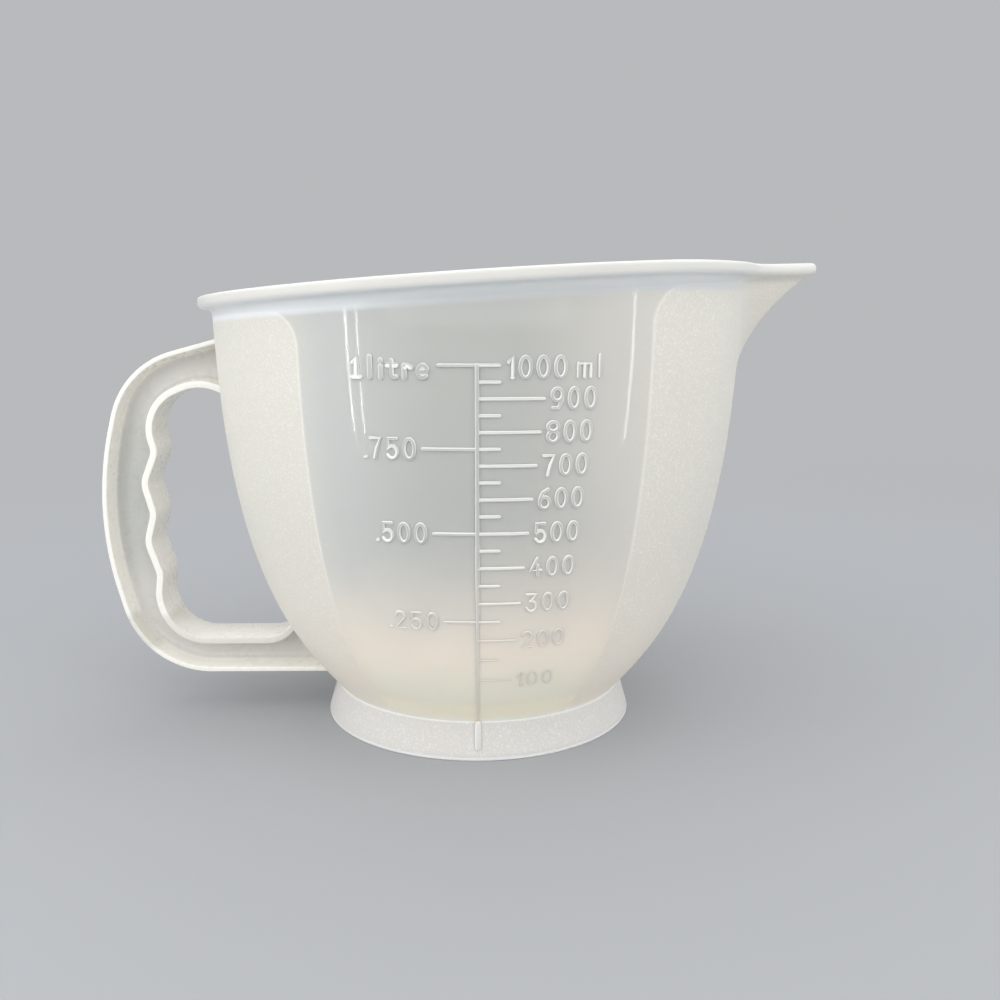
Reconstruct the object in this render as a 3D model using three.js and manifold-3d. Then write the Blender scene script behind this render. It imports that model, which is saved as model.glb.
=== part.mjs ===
// A one litre measuring bowl moulded in one piece from translucent plastic: a deep round bowl
// on a foot ring, a rim that leans up towards its pouring spout, an I-section handle with a
// finger grip, and a raised scale on the front. Millimetres, +Z up, spout to +X, scale to -Y.
import * as THREE from 'three';
import { mergeVertices } from 'three/addons/utils/BufferGeometryUtils.js';
import Module from 'manifold-3d';

const wasm = await Module();
wasm.setup();

// Bowl: the outside of the wall is one curve from the crease above the foot to the rim.
const creaseHeight = 9.5;
const creaseRadius = 39.8;
const mouthRadius = 69.45;
const rimHeight = 118.3;
const wallThickness = 1.35;
const wallRootThickness = 2.3;
const lowerBellyOut = 8.65;
const lowerBellyRise = 10.8;
const upperBellyOut = 1.05;
const upperBellyRise = 74.7;
const lowerBellyShareInside = 1.5;
const upperBellyShareInside = 0.91;
const floorHeight = 5.9;
const floorThickness = 1.8;
const floorFlatRadius = 27;

// Foot ring: a short cone that flares to the table.
const footRadius = 42.5;
const footThickness = 1.4;
const footSeam = 0.15;

// Rim: leans by rimTilt, highest at the spout, and turns outwards into a rounded edge.
const rimTilt = THREE.MathUtils.degToRad(3.7);
const leanDepth = 18.3;
const lipDepth = 6.5;
const lipOverhang = 3.55;
const lipEdge = 2.0;
const lipTopLand = 1.1;

// Pouring spout: a channel drawn out of the wall and the rim, wider and longer towards the top.
const spoutReach = 18.85;
const spoutDepth = 52.3;
const spoutFullRise = 1.7;
const spoutCurve = 3.92;
const spoutHalfWidth = 19;
const spoutHalfWidthAtFoot = 8;
const spoutNose = 0.9;
const spoutPinch = 2.0;
const spoutDip = 0.5;
const spoutDipEnd = 4;
const spoutSector = 20;
const spoutSeamRise = 10;

// Handle: an outer flange and a finger grip joined by a web on the middle plane. The corners of
// its lines are given in shares: how far they stand out from the mouth's radius (out) and the
// radius that rounds them are shares of the handle's reach, and up is a share of its height.
const handleReach = 35.6;
const flangeThickness = 1.9;
const handleDepth = 14;
const webThickness = 1.6;
const handleDrop = 12.2;
const handleLift = 1.85;
const handleInset = 1.4;
const outerRoot = { out: -0.265, up: 1 };
const outerCorners = [
  { out: 0.712, up: 0.898, radius: 0.674 },
  { out: 1, up: 0.482, radius: 2.528 },
  { out: 0.667, up: 0, radius: 0.685 },
];
const gripRoot = { out: -0.265, up: 0.782 };
const gripArch = [
  { out: 0.145, up: 0.845, radius: 0.331 },
  { out: 0.579, up: 0.777, radius: 0.303 },
];
const knuckleRadius = 0.16;
const knuckles = [
  { out: 0.469, up: 0.653 },
  { out: 0.567, up: 0.562 },
  { out: 0.504, up: 0.473 },
  { out: 0.562, up: 0.391 },
  { out: 0.48, up: 0.296 },
];
const gripFoot = 0.1045;
const gripFootCorners = [
  { out: 0.504, up: 0.224, radius: 0.309 },
  { out: 0.407, up: gripFoot, radius: 0.323 },
  { out: -0.383, up: gripFoot, radius: 0.197 },
];
const gripEnd = { out: -0.833, up: 0.273 };

// Raised scale: a spine up the front with a bar at every 50 ml and a rib on the foot below it.
// The last mark is the bowl's capacity, and each other mark stands for its share of it. Bars of
// a kind grow in length from the foot to the last mark.
const reliefHeight = 0.45;
const scaleOffset = -0.25;
const spineWidth = 1.2;
const barWidth = 0.8;
const millilitresInStep = 50;
const firstStep = 2;
const lastStep = 20;
const stepsInNumber = 2;
const stepsInQuarter = 5;
const lastMarkDrop = 19.3;
const shortBar = 5.1;
const longBarLowest = 7.3;
const longBarHighest = 15.3;
const litreBarLowest = 5.7;
const litreBarHighest = 14;
const topBarLeft = 8.4;
const footRibWidth = 1.5;
const footRibFoot = 2.5;

// Clearances between the moulded forms, and the fineness of the curves.
const jointGap = 0.3;
const reliefGap = 0.1;
const roundSegments = 72;
const spoutSegments = 360;
const wallSteps = 18;
const floorSteps = 4;
const spoutWallSteps = 64;
const arcStep = 2.2;
const lipSteps = 4;
const fewestArcSteps = 2;
const shortestStep = 0.3;
const weld = 1e-4;
const reach = 200;

const wallTop = rimHeight - lipDepth;
const leanStart = rimHeight - leanDepth;
const lean = Math.tan(rimTilt);
const spoutFoot = rimHeight - spoutDepth;
const spoutFull = rimHeight + spoutFullRise;
const handleFoot = creaseHeight + handleLift;
const handleTop = rimHeight - handleDrop;

// Profiles are lists of Vector2 with the radius as x and the height as y.

const lowerBelly = new THREE.Vector2(lowerBellyOut, lowerBellyRise);
const upperBelly = new THREE.Vector2(upperBellyOut, upperBellyRise);

function wallCurve(rootInset, mouthInset, lowerShare, upperShare) {
  const root = new THREE.Vector2(creaseRadius - rootInset, creaseHeight);
  const mouth = new THREE.Vector2(mouthRadius - mouthInset, wallTop);
  return new THREE.CubicBezierCurve(
    root,
    root.clone().addScaledVector(lowerBelly, lowerShare),
    mouth.clone().addScaledVector(upperBelly, -upperShare),
    mouth,
  );
}

const outerCurve = wallCurve(0, 0, 1, 1);
const innerCurve = wallCurve(
  wallRootThickness,
  wallThickness,
  lowerBellyShareInside,
  upperBellyShareInside,
);
const outerWall = outerCurve.getPoints(wallSteps);
const innerWall = innerCurve.getPoints(wallSteps);

// The wall meets the floor's upward curve at the slope that the wall starts with.
function floorCurve(flatHeight, edgeRadius) {
  const slope = lowerBelly.x / lowerBelly.y;
  return new THREE.QuadraticBezierCurve(
    new THREE.Vector2(floorFlatRadius, flatHeight),
    new THREE.Vector2(edgeRadius - slope * (creaseHeight - flatHeight), flatHeight),
    new THREE.Vector2(edgeRadius, creaseHeight),
  ).getPoints(floorSteps);
}

const floorTop = floorCurve(floorHeight, creaseRadius - wallRootThickness);
const floorUnderside = floorCurve(
  floorHeight - floorThickness,
  creaseRadius - footThickness - footSeam,
);

// The inside of the bowl, from the middle of its floor up to the rim.
const insideProfile = [new THREE.Vector2(0, floorHeight), ...floorTop, ...innerWall.slice(1)];

// The rim's section: a concave underside, a rounded edge, a narrow land and the turned-out mouth.
function lipProfile() {
  const edgeRadius = lipEdge / 2;
  const edgeCentre = mouthRadius + lipOverhang - edgeRadius;
  const inner = mouthRadius - wallThickness;
  const path = new THREE.Path();
  path.moveTo(mouthRadius, wallTop);
  path.quadraticCurveTo(
    mouthRadius,
    wallTop + lipDepth / 2,
    edgeCentre,
    rimHeight - lipEdge,
  );
  path.absarc(edgeCentre, rimHeight - edgeRadius, edgeRadius, -Math.PI / 2, Math.PI / 2, false);
  path.lineTo(edgeCentre - lipTopLand, rimHeight);
  path.quadraticCurveTo(inner, rimHeight - lipEdge / 2, inner, wallTop);
  return path.getPoints(lipSteps);
}

function closed(profile) {
  return [...profile, profile[0]];
}

// Solids

function solidOf(geometry) {
  const bare = geometry.index ? geometry.toNonIndexed() : geometry.clone();
  bare.deleteAttribute('normal');
  bare.deleteAttribute('uv');
  const merged = mergeVertices(bare, weld);
  return new wasm.Manifold(
    new wasm.Mesh({
      numProp: 3,
      vertProperties: new Float32Array(merged.attributes.position.array),
      triVerts: new Uint32Array(merged.index.array),
    }),
  );
}

function geometryOf(solid) {
  const mesh = solid.getMesh();
  const geometry = new THREE.BufferGeometry();
  geometry.setAttribute('position', new THREE.BufferAttribute(mesh.vertProperties, 3));
  geometry.setIndex(new THREE.BufferAttribute(mesh.triVerts, 1));
  geometry.computeVertexNormals();
  return geometry;
}

function turned(profile, segments = roundSegments) {
  return new THREE.LatheGeometry(profile, segments).rotateX(Math.PI / 2);
}

// An outline drawn in X and Z, given a depth along Y about the middle plane.
function slab(outline, depth) {
  return new THREE.ExtrudeGeometry(new THREE.Shape(outline), { depth, bevelEnabled: false })
    .translate(0, 0, -depth / 2)
    .rotateX(Math.PI / 2);
}

function box(low, high) {
  const size = new THREE.Vector3().subVectors(high, low);
  const middle = new THREE.Vector3().addVectors(high, low).multiplyScalar(0.5);
  return new THREE.BoxGeometry(size.x, size.y, size.z).translate(middle.x, middle.y, middle.z);
}

function moveVertices(geometry, move) {
  const position = geometry.attributes.position;
  const point = new THREE.Vector3();
  for (let i = 0; i < position.count; i += 1) {
    point.fromBufferAttribute(position, i);
    move(point);
    position.setXYZ(i, point.x, point.y, point.z);
  }
  return geometry;
}

// The rim's lean: nothing below leanStart, all of it from the top of the wall.
function leanPoint(point) {
  const share = THREE.MathUtils.clamp((point.z - leanStart) / (wallTop - leanStart), 0, 1);
  point.z += share * lean * point.x;
}

// How far the spout draws a point of the wall outwards, by its height and its side angle.
function spoutPull(height, sideAngle) {
  const noseLean = lean * (mouthRadius + spoutReach);
  const leanShare = THREE.MathUtils.clamp((height - leanStart) / (wallTop - leanStart), 0, 1);
  const noseHeight = height + leanShare * noseLean;
  const rise = THREE.MathUtils.clamp((noseHeight - spoutFoot) / (spoutFull - spoutFoot), 0, 1);
  const halfWidth = THREE.MathUtils.lerp(spoutHalfWidthAtFoot, spoutHalfWidth, rise);
  const rounded = Math.hypot(sideAngle, spoutNose) - spoutNose;
  const side = Math.max(0, 1 - rounded / (Math.hypot(halfWidth, spoutNose) - spoutNose));
  return spoutReach * rise ** spoutCurve * side ** spoutPinch;
}

function drawSpout(point) {
  const radius = Math.hypot(point.x, point.y);
  const sideAngle = THREE.MathUtils.radToDeg(Math.abs(Math.atan2(point.y, point.x)));
  const pull = spoutPull(point.z, sideAngle);
  const factor = (radius + pull) / radius;
  point.x *= factor;
  point.y *= factor;
  leanPoint(point);
  point.z -= spoutDip * THREE.MathUtils.smoothstep(pull, 0, spoutDipEnd);
}

// The wedge of the bowl that the spout takes up, from its seam with the wall upwards.
function spoutWedge() {
  const angle = THREE.MathUtils.degToRad(spoutSector);
  const far = new THREE.Vector2(reach * Math.cos(angle), reach * Math.sin(angle));
  const plan = new THREE.Shape([
    new THREE.Vector2(0, 0),
    new THREE.Vector2(far.x, -far.y),
    new THREE.Vector2(far.x, far.y),
  ]);
  return new THREE.ExtrudeGeometry(plan, { depth: reach, bevelEnabled: false })
    .translate(0, 0, spoutFoot + spoutSeamRise);
}

// Bowl, foot and rim

const wedge = solidOf(spoutWedge());

function bowlWall() {
  const ring = turned(closed([...outerWall, ...innerWall.slice().reverse()]));
  return solidOf(moveVertices(ring, leanPoint)).subtract(wedge);
}

function rimLip() {
  const ring = turned(closed(lipProfile()));
  return solidOf(moveVertices(ring, leanPoint)).subtract(wedge);
}

function pouringSpout() {
  const isAboveFoot = (point) => point.y > spoutFoot;
  const outside = outerCurve.getPoints(spoutWallSteps).filter(isAboveFoot);
  const inside = innerCurve.getPoints(spoutWallSteps).filter(isAboveFoot);
  const section = [...outside, ...lipProfile().slice(1), ...inside.reverse().slice(1)];
  const ring = turned(closed(section), spoutSegments);
  return solidOf(moveVertices(ring, drawSpout)).intersect(wedge);
}

function bowlFloor() {
  return solidOf(turned([
    new THREE.Vector2(0, floorHeight - floorThickness),
    ...floorUnderside,
    ...floorTop.slice().reverse(),
    new THREE.Vector2(0, floorHeight),
  ]));
}

function footRing() {
  return solidOf(turned(closed([
    new THREE.Vector2(footRadius, 0),
    new THREE.Vector2(creaseRadius, creaseHeight),
    new THREE.Vector2(creaseRadius - footThickness, creaseHeight),
    new THREE.Vector2(footRadius - footThickness, 0),
  ])));
}

// Handle

function handlePoint({ out, up }) {
  const x = -(mouthRadius + out * handleReach);
  return new THREE.Vector2(x, THREE.MathUtils.lerp(handleFoot, handleTop, up));
}

// The turn at each inner point of a line: half of the angle between its two sides.
function cornerAt(places, index) {
  const back = places[index - 1].clone().sub(places[index]);
  const ahead = places[index + 1].clone().sub(places[index]);
  return { back, ahead, half: back.angleTo(ahead) / 2 };
}

// A line through the given ends, with each corner between them rounded to its radius, or to the
// largest radius that its sides have room for beside the next corner's. Where two arcs meet, the
// point that they share is kept once.
function roundedLine(start, corners, end) {
  const places = [start, ...corners.map(handlePoint), end];
  const turns = corners.map((corner, index) => cornerAt(places, index + 1));
  const trimOf = ({ radius }, i) => (radius * handleReach) / Math.tan(turns[i].half);
  const wanted = [0, ...corners.map(trimOf), 0];
  const share = (i) => Math.min(1, turns[i].ahead.length() / (wanted[i + 1] + wanted[i + 2]));
  const shareBack = (i) => Math.min(1, turns[i].back.length() / (wanted[i] + wanted[i + 1]));
  const points = [start.clone()];
  turns.forEach(({ back, ahead, half }, index) => {
    const place = places[index + 1];
    const trim = wanted[index + 1] * Math.min(share(index), shareBack(index));
    const arcStart = place.clone().addScaledVector(back.normalize(), trim);
    const arcEnd = place.clone().addScaledVector(ahead.normalize(), trim);
    const toCentre = back.clone().add(ahead).normalize();
    const centre = place.clone().addScaledVector(toCentre, trim / Math.cos(half));
    const from = arcStart.clone().sub(centre);
    const turn = Math.sign(from.cross(arcEnd.clone().sub(centre))) * (Math.PI - 2 * half);
    const length = Math.abs(turn) * from.length();
    const steps = Math.max(fewestArcSteps, Math.ceil(length / arcStep));
    for (let i = 0; i <= steps; i += 1) {
      points.push(arcStart.clone().rotateAround(centre, (turn * i) / steps));
    }
  });
  points.push(end.clone());
  return points.filter((point, i) => i === 0 || point.distanceTo(points[i - 1]) > shortestStep);
}

// The same line moved sideways, to the left of its direction for a positive distance.
function besideLine(points, distance) {
  return points.map((point, index) => {
    const before = points[Math.max(index - 1, 0)];
    const after = points[Math.min(index + 1, points.length - 1)];
    const along = after.clone().sub(before).normalize();
    return new THREE.Vector2(point.x - along.y * distance, point.y + along.x * distance);
  });
}

function outerLine() {
  const end = handlePoint({ out: -handleInset, up: 0 });
  return roundedLine(handlePoint(outerRoot), outerCorners, end);
}

function gripLine() {
  const ridges = knuckles.map((knuckle) => ({ ...knuckle, radius: knuckleRadius }));
  const corners = [...gripArch, ...ridges, ...gripFootCorners];
  return roundedLine(handlePoint(gripRoot), corners, handlePoint(gripEnd));
}

// The room that the bowl takes, which the handle's pieces are cut back from.
function bowlRoom() {
  const edge = besideLine(outerWall, -jointGap);
  return solidOf(turned([
    new THREE.Vector2(0, edge[0].y),
    ...edge,
    new THREE.Vector2(0, edge[edge.length - 1].y),
  ]));
}

const outerFlangeOutside = outerLine();
const outerFlangeInside = besideLine(outerFlangeOutside, flangeThickness);
const gripFingerSide = gripLine();
const gripWebSide = besideLine(gripFingerSide, -flangeThickness);
const room = bowlRoom();

function betweenLines(first, second, depth) {
  return solidOf(slab([...first, ...second.slice().reverse()], depth)).subtract(room);
}

// Raised scale

function radiusAt(line, height) {
  const upper = line.findIndex((point) => point.y >= height);
  const [low, high] = [line[upper - 1], line[upper]];
  return THREE.MathUtils.mapLinear(height, low.y, high.y, low.x, high.x);
}

// The inside of the bowl in slices between the points of its profile, each with its mean area.
const slices = insideProfile.slice(1).map((high, i) => {
  const low = insideProfile[i];
  const area = (Math.PI / 3) * (low.x ** 2 + low.x * high.x + high.x ** 2);
  return { foot: low.y, rise: high.y - low.y, area };
});

// What the bowl holds when the level stands at a height.
function volumeUpTo(height) {
  const filled = ({ foot, rise }) => THREE.MathUtils.clamp(height - foot, 0, rise);
  return slices.reduce((sum, slice) => sum + slice.area * filled(slice), 0);
}

const capacity = volumeUpTo(rimHeight - lastMarkDrop);

// Where the level stands for a mark: at the height where the slices up to it hold its share.
function fillHeight(step) {
  let left = (capacity * step) / lastStep;
  for (const { foot, rise, area } of slices) {
    if (area * rise >= left) {
      return foot + left / area;
    }
    left -= area * rise;
  }
  return rimHeight;
}

// A band of relief around the outside of a profile line, between two heights.
function reliefBand(line, from, to) {
  const between = line.filter((point) => point.y > from + reliefGap && point.y < to - reliefGap);
  const stretch = [
    new THREE.Vector2(radiusAt(line, from), from),
    ...between,
    new THREE.Vector2(radiusAt(line, to), to),
  ];
  const at = (distance) => stretch.map((point) => new THREE.Vector2(point.x + distance, point.y));
  return solidOf(turned(closed([...at(reliefGap + reliefHeight), ...at(reliefGap).reverse()])));
}

// The part of a relief band that lies on the front between two places across it.
function frontOf(band, left, right) {
  const window = box(
    new THREE.Vector3(scaleOffset + left, -reach, -reach),
    new THREE.Vector3(scaleOffset + right, 0, reach),
  );
  return band.intersect(solidOf(window));
}

function scaleBar(height, left, right) {
  const band = reliefBand(outerWall, height - barWidth / 2, height + barWidth / 2);
  return frontOf(band, left, right);
}

function longBar(step) {
  return THREE.MathUtils.lerp(longBarLowest, longBarHighest, step / lastStep);
}

function litreBar(step) {
  return THREE.MathUtils.lerp(litreBarLowest, litreBarHighest, step / lastStep);
}

// Materials and the finished group

const finish = {
  clear: { color: 0xd9dbd6, roughness: 0.22 },
  frosted: { color: 0xe2e0d6, roughness: 0.55 },
  relief: { color: 0xf2f2ec, roughness: 0.3 },
};

const bowl = new THREE.Group();

function place(name, solid, look) {
  const material = new THREE.MeshStandardMaterial({ ...look, metalness: 0 });
  const mesh = new THREE.Mesh(geometryOf(solid), material);
  mesh.name = name;
  bowl.add(mesh);
}

place('foot_ring', footRing(), finish.frosted);
place('bowl_floor', bowlFloor(), finish.clear);
place('bowl_wall', bowlWall(), finish.clear);
place('rim_lip', rimLip(), finish.clear);
place('pouring_spout', pouringSpout(), finish.frosted);

place('handle_outer_flange', betweenLines(outerFlangeOutside, outerFlangeInside, handleDepth), finish.clear);
place('handle_web', betweenLines(outerFlangeInside, gripWebSide, webThickness), finish.clear);
place('handle_finger_grip', betweenLines(gripWebSide, gripFingerSide, handleDepth), finish.clear);

const half = spineWidth / 2;
const spineTop = fillHeight(lastStep) + barWidth / 2;
const spineBand = reliefBand(outerWall, creaseHeight + jointGap, spineTop);
place('scale_spine', frontOf(spineBand, -half, half), finish.relief);

for (let step = firstStep; step <= lastStep; step += 1) {
  const isLong = step % stepsInNumber === 0 && step < lastStep;
  const right = isLong ? longBar(step) : shortBar;
  const name = `mark_${step * millilitresInStep}`;
  place(name, scaleBar(fillHeight(step), half, right), finish.relief);
}

for (let step = stepsInQuarter; step <= lastStep; step += stepsInQuarter) {
  const left = step === lastStep ? topBarLeft : litreBar(step);
  const name = `litre_mark_${step * millilitresInStep}`;
  place(name, scaleBar(fillHeight(step), -left, -half), finish.relief);
}

const footSide = [new THREE.Vector2(footRadius, 0), new THREE.Vector2(creaseRadius, creaseHeight)];
const footRib = reliefBand(footSide, footRibFoot, creaseHeight - jointGap);
place('foot_rib', frontOf(footRib, -footRibWidth / 2, footRibWidth / 2), finish.relief);

// The origin is on the table under the middle of the whole bowl.
const extent = new THREE.Box3().setFromObject(bowl);
bowl.position.x = -(extent.min.x + extent.max.x) / 2;

export default bowl;
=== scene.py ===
"""Looks of a one litre measuring bowl, moulded in one piece from milky polypropylene.

The bowl, its rim, spout and foot are one continuous body. The handle, the raised scale and its
numbers are pieces of their own. Sizes are in millimetres about the bowl's axis: the spout points
to +X, the scale faces -Y, and the table is at Z = 0.
"""
import logging
import math
from dataclasses import dataclass, field
from enum import Enum
from functools import cached_property

import bmesh
import bpy
import numpy as np
from mathutils import Matrix, Vector


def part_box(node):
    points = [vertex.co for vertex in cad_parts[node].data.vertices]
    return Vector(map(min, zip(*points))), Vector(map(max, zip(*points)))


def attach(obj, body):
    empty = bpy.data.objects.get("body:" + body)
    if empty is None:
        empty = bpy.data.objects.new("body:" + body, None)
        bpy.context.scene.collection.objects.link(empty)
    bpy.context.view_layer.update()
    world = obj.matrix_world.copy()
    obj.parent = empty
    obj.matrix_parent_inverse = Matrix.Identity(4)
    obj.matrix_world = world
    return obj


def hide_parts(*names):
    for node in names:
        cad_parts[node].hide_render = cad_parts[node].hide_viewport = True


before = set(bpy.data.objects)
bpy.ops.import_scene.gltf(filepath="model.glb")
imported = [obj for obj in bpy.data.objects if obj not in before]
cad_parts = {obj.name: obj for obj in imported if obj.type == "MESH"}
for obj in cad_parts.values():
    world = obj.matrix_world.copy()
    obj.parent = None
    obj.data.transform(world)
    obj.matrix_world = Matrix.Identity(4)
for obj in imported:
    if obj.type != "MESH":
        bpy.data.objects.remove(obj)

log = logging.getLogger("measuring_bowl")

MM = 0.001
MERGE_DISTANCE = 0.001 * MM
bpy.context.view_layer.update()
Pair = tuple[float, float]
Triple = tuple[float, float, float]
Colour = Triple | bpy.types.NodeSocket
BLACK = (0.0, 0.0, 0.0)


def row_axis_x() -> float:
    """Where the bowl's axis stands along X in the row frame, in metres, read from the foot ring."""
    low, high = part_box("foot_ring")
    return (low[0] + high[0]) / 2


AXIS_X = row_axis_x()


def in_row(point: Triple) -> Vector:
    """A point in millimetres about the bowl's axis, turned to the row frame in metres."""
    x, y, z = point
    return Vector((AXIS_X + x * MM, y * MM, z * MM))


def lerp(low: float, high: float, share: float) -> float:
    """The value at a share of the way from low to high."""
    return low + (high - low) * share


def clamp(value: float, low: float = 0.0, high: float = 1.0) -> float:
    """The value kept between low and high."""
    return max(low, min(high, value))


def smooth_share(value: float, low: float, high: float) -> float:
    """How far value is from low to high, from 0 to 1, with an easy start and end."""
    share = clamp((value - low) / (high - low))
    return share * share * (3 - 2 * share)


def counted_from(start: float, span: Pair) -> Pair:
    """The two ends of a span that is counted from a start."""
    return start + span[0], start + span[1]


def curve_points(controls: tuple[Pair, ...], steps: int) -> list[Pair]:
    """Points along a Bezier curve of any degree.

    Args:
        controls: The control points.
        steps: How many steps the curve is cut into.

    Returns:
        The points from the first control to the last one.
    """
    points = []
    for i in range(steps + 1):
        level = [Vector(control) for control in controls]
        while len(level) > 1:
            level = [a.lerp(b, i / steps) for a, b in zip(level, level[1:])]
        points.append((level[0].x, level[0].y))
    return points


def arc_points(centre: Pair, radii: Pair, start: float, end: float, steps: int) -> list[Pair]:
    """Points along an arc of an ellipse, from one angle in degrees to another."""
    angles = [math.radians(lerp(start, end, i / steps)) for i in range(steps + 1)]
    return [(centre[0] + radii[0] * math.cos(a), centre[1] + radii[1] * math.sin(a)) for a in angles]


@dataclass(frozen=True)
class BowlForm:
    """The bowl's shape in numbers: its section, its leaning rim and the spout drawn out of it."""

    # The wall
    crease_height: float = 9.5
    crease_radius: float = 39.8
    mouth_radius: float = 69.45
    rim_height: float = 118.3
    wall: float = 1.35
    wall_root: float = 2.3
    lower_belly: Pair = (8.65, 10.8)
    upper_belly: Pair = (1.05, 74.7)
    inner_shares: Pair = (1.5, 0.91)

    # The floor and the foot
    floor_height: float = 5.9
    floor_thickness: float = 1.8
    floor_flat: float = 27.0
    foot_radius: float = 42.5
    foot_thickness: float = 1.4
    foot_rounding: float = 0.4

    # The lip
    lip_depth: float = 6.5
    lip_overhang: float = 3.55
    lip_edge: float = 2.8
    lip_roundings: Pair = (0.45, 0.95)
    lip_land: float = 1.1
    lip_turn: float = 1.0
    cove_turn: float = 0.5

    # The rim's lean
    rim_tilt: float = 3.7
    lean_depth: float = 18.3

    # The spout and the dip of the rim there
    spout_reach: float = 18.85
    spout_depth: float = 52.3
    spout_full_rise: float = 1.7
    spout_curve: float = 3.92
    spout_half_widths: Pair = (10.1, 24.0)
    spout_nose: float = 0.9
    spout_pinch: float = 2.53
    tip_fill: Pair = (2.9, 1.5)
    nose_share: float = 0.7
    dip: float = 0.5
    dip_sides: Pair = (24.0, 56.0)

    # Steps along the section's lines
    wall_steps: tuple[int, int] = (64, 76)
    lip_steps: tuple[int, ...] = (10, 5, 3, 7)
    foot_steps: tuple[int, int] = (4, 6)
    floor_steps: int = 8
    line_steps: int = 200

    # How far inside the outer wall a point may lie and still count as on it
    outer_slack: float = 0.01

    @property
    def wall_top(self) -> float:
        """The height where the wall turns into the lip."""
        return self.rim_height - self.lip_depth

    @property
    def lean(self) -> float:
        """How much the rim rises for each step towards the spout."""
        return math.tan(math.radians(self.rim_tilt))

    def wall_line(self, inside: bool, steps: int) -> list[Pair]:
        """The wall's line from the crease to the lip, as radius and height.

        Args:
            inside: Whether the inner side of the wall is meant.
            steps: How many steps the line is cut into.

        Returns:
            The points from the crease upwards.
        """
        root_inset, mouth_inset = (self.wall_root, self.wall) if inside else (0.0, 0.0)
        low_share, high_share = self.inner_shares if inside else (1.0, 1.0)
        root = Vector((self.crease_radius - root_inset, self.crease_height))
        mouth = Vector((self.mouth_radius - mouth_inset, self.wall_top))
        low = root + Vector(self.lower_belly) * low_share
        high = mouth - Vector(self.upper_belly) * high_share
        return curve_points((tuple(root), tuple(low), tuple(high), tuple(mouth)), steps)

    def floor_line(self, height: float, edge: float) -> list[Pair]:
        """The floor's line from its flat middle to its raised edge at the crease's height.

        Args:
            height: The height of its flat middle.
            edge: The radius of its edge.

        Returns:
            The points from the middle outwards.
        """
        slope = self.lower_belly[0] / self.lower_belly[1]
        turn = edge - slope * (self.crease_height - height)
        controls = ((self.floor_flat, height), (turn, height), (edge, self.crease_height))
        return curve_points(controls, self.floor_steps)

    def lip_line(self) -> list[Pair]:
        """The lip's line from the inner wall over its land and rounded edge to the outer wall.

        Returns:
            Its points, as radius and height.
        """
        inner = self.mouth_radius - self.wall
        face = self.mouth_radius + self.lip_overhang
        upper, lower = self.lip_roundings
        land = face - self.lip_turn - self.lip_land
        mouth = ((inner, self.wall_top), (inner, self.rim_height - self.lip_turn), (land, self.rim_height))
        foot = self.rim_height - self.lip_edge
        under = (
            (face - lower, foot),
            (self.mouth_radius + self.cove_turn, foot),
            (self.mouth_radius, foot - self.lip_turn),
            (self.mouth_radius, self.wall_top),
        )
        turn_steps, upper_steps, flat_steps, lower_steps = self.lip_steps
        top_edge = arc_points((face - upper, self.rim_height - upper), (upper, upper), 90, 0, upper_steps)
        low_edge = arc_points((face - lower, foot + lower), (lower, lower), 0, -90, lower_steps)
        flat = curve_points((top_edge[-1], low_edge[0]), flat_steps)[1:-1]
        inside = curve_points(mouth, turn_steps)
        return inside + top_edge + flat + low_edge + curve_points(under, turn_steps)[1:]

    def foot_line(self) -> list[Pair]:
        """The foot's line from the crease down its outside, round its edge and up its inside.

        Returns:
            Its points, as radius and height, without the crease itself.
        """
        rounding = self.foot_rounding
        radii = (rounding, rounding)
        turn_steps, side_steps = self.foot_steps
        inner = self.foot_radius - self.foot_thickness
        outer_edge = arc_points((self.foot_radius - rounding, rounding), radii, 0, -90, turn_steps)
        inner_edge = arc_points((inner + rounding, rounding), radii, -90, -180, turn_steps)
        root = (self.crease_radius - self.foot_thickness, self.crease_height - rounding)
        outside = curve_points(((self.crease_radius, self.crease_height), outer_edge[0]), side_steps)
        inside = curve_points((inner_edge[-1], root), side_steps)
        return outside[1:] + outer_edge[1:] + inner_edge + inside[1:]

    def section(self) -> list[Pair]:
        """The whole bowl's section, from the middle of the floor's top to that of its underside.

        Returns:
            Its points, as radius and height.
        """
        underside = self.floor_height - self.floor_thickness
        foot_inside = self.crease_radius - self.foot_thickness - self.foot_rounding / 2
        top = self.floor_line(self.floor_height, self.crease_radius - self.wall_root)
        below = self.floor_line(underside, foot_inside)
        return [
            (0.0, self.floor_height),
            *top,
            *self.wall_line(True, self.wall_steps[0])[1:],
            *self.lip_line()[1:],
            *self.wall_line(False, self.wall_steps[1])[::-1][1:],
            *self.foot_line(),
            *below[::-1],
            (0.0, underside),
        ]

    @cached_property
    def outer_line(self) -> np.ndarray:
        """The radii and the heights of the outer wall, closely spaced, one row each."""
        return np.array(self.wall_line(False, self.line_steps)).T

    def wall_radius(self, height: float) -> float:
        """The outer radius of the wall or the foot.

        Args:
            height: The height that it is wanted for.

        Returns:
            The radius.
        """
        if height < self.crease_height:
            return lerp(self.foot_radius, self.crease_radius, height / self.crease_height)
        radii, heights = self.outer_line
        return float(np.interp(height, heights, radii))

    def lean_share(self, height: float) -> float:
        """How much of the rim's lean a height takes, from 0 to 1."""
        start = self.rim_height - self.lean_depth
        return clamp((height - start) / (self.wall_top - start))

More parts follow.
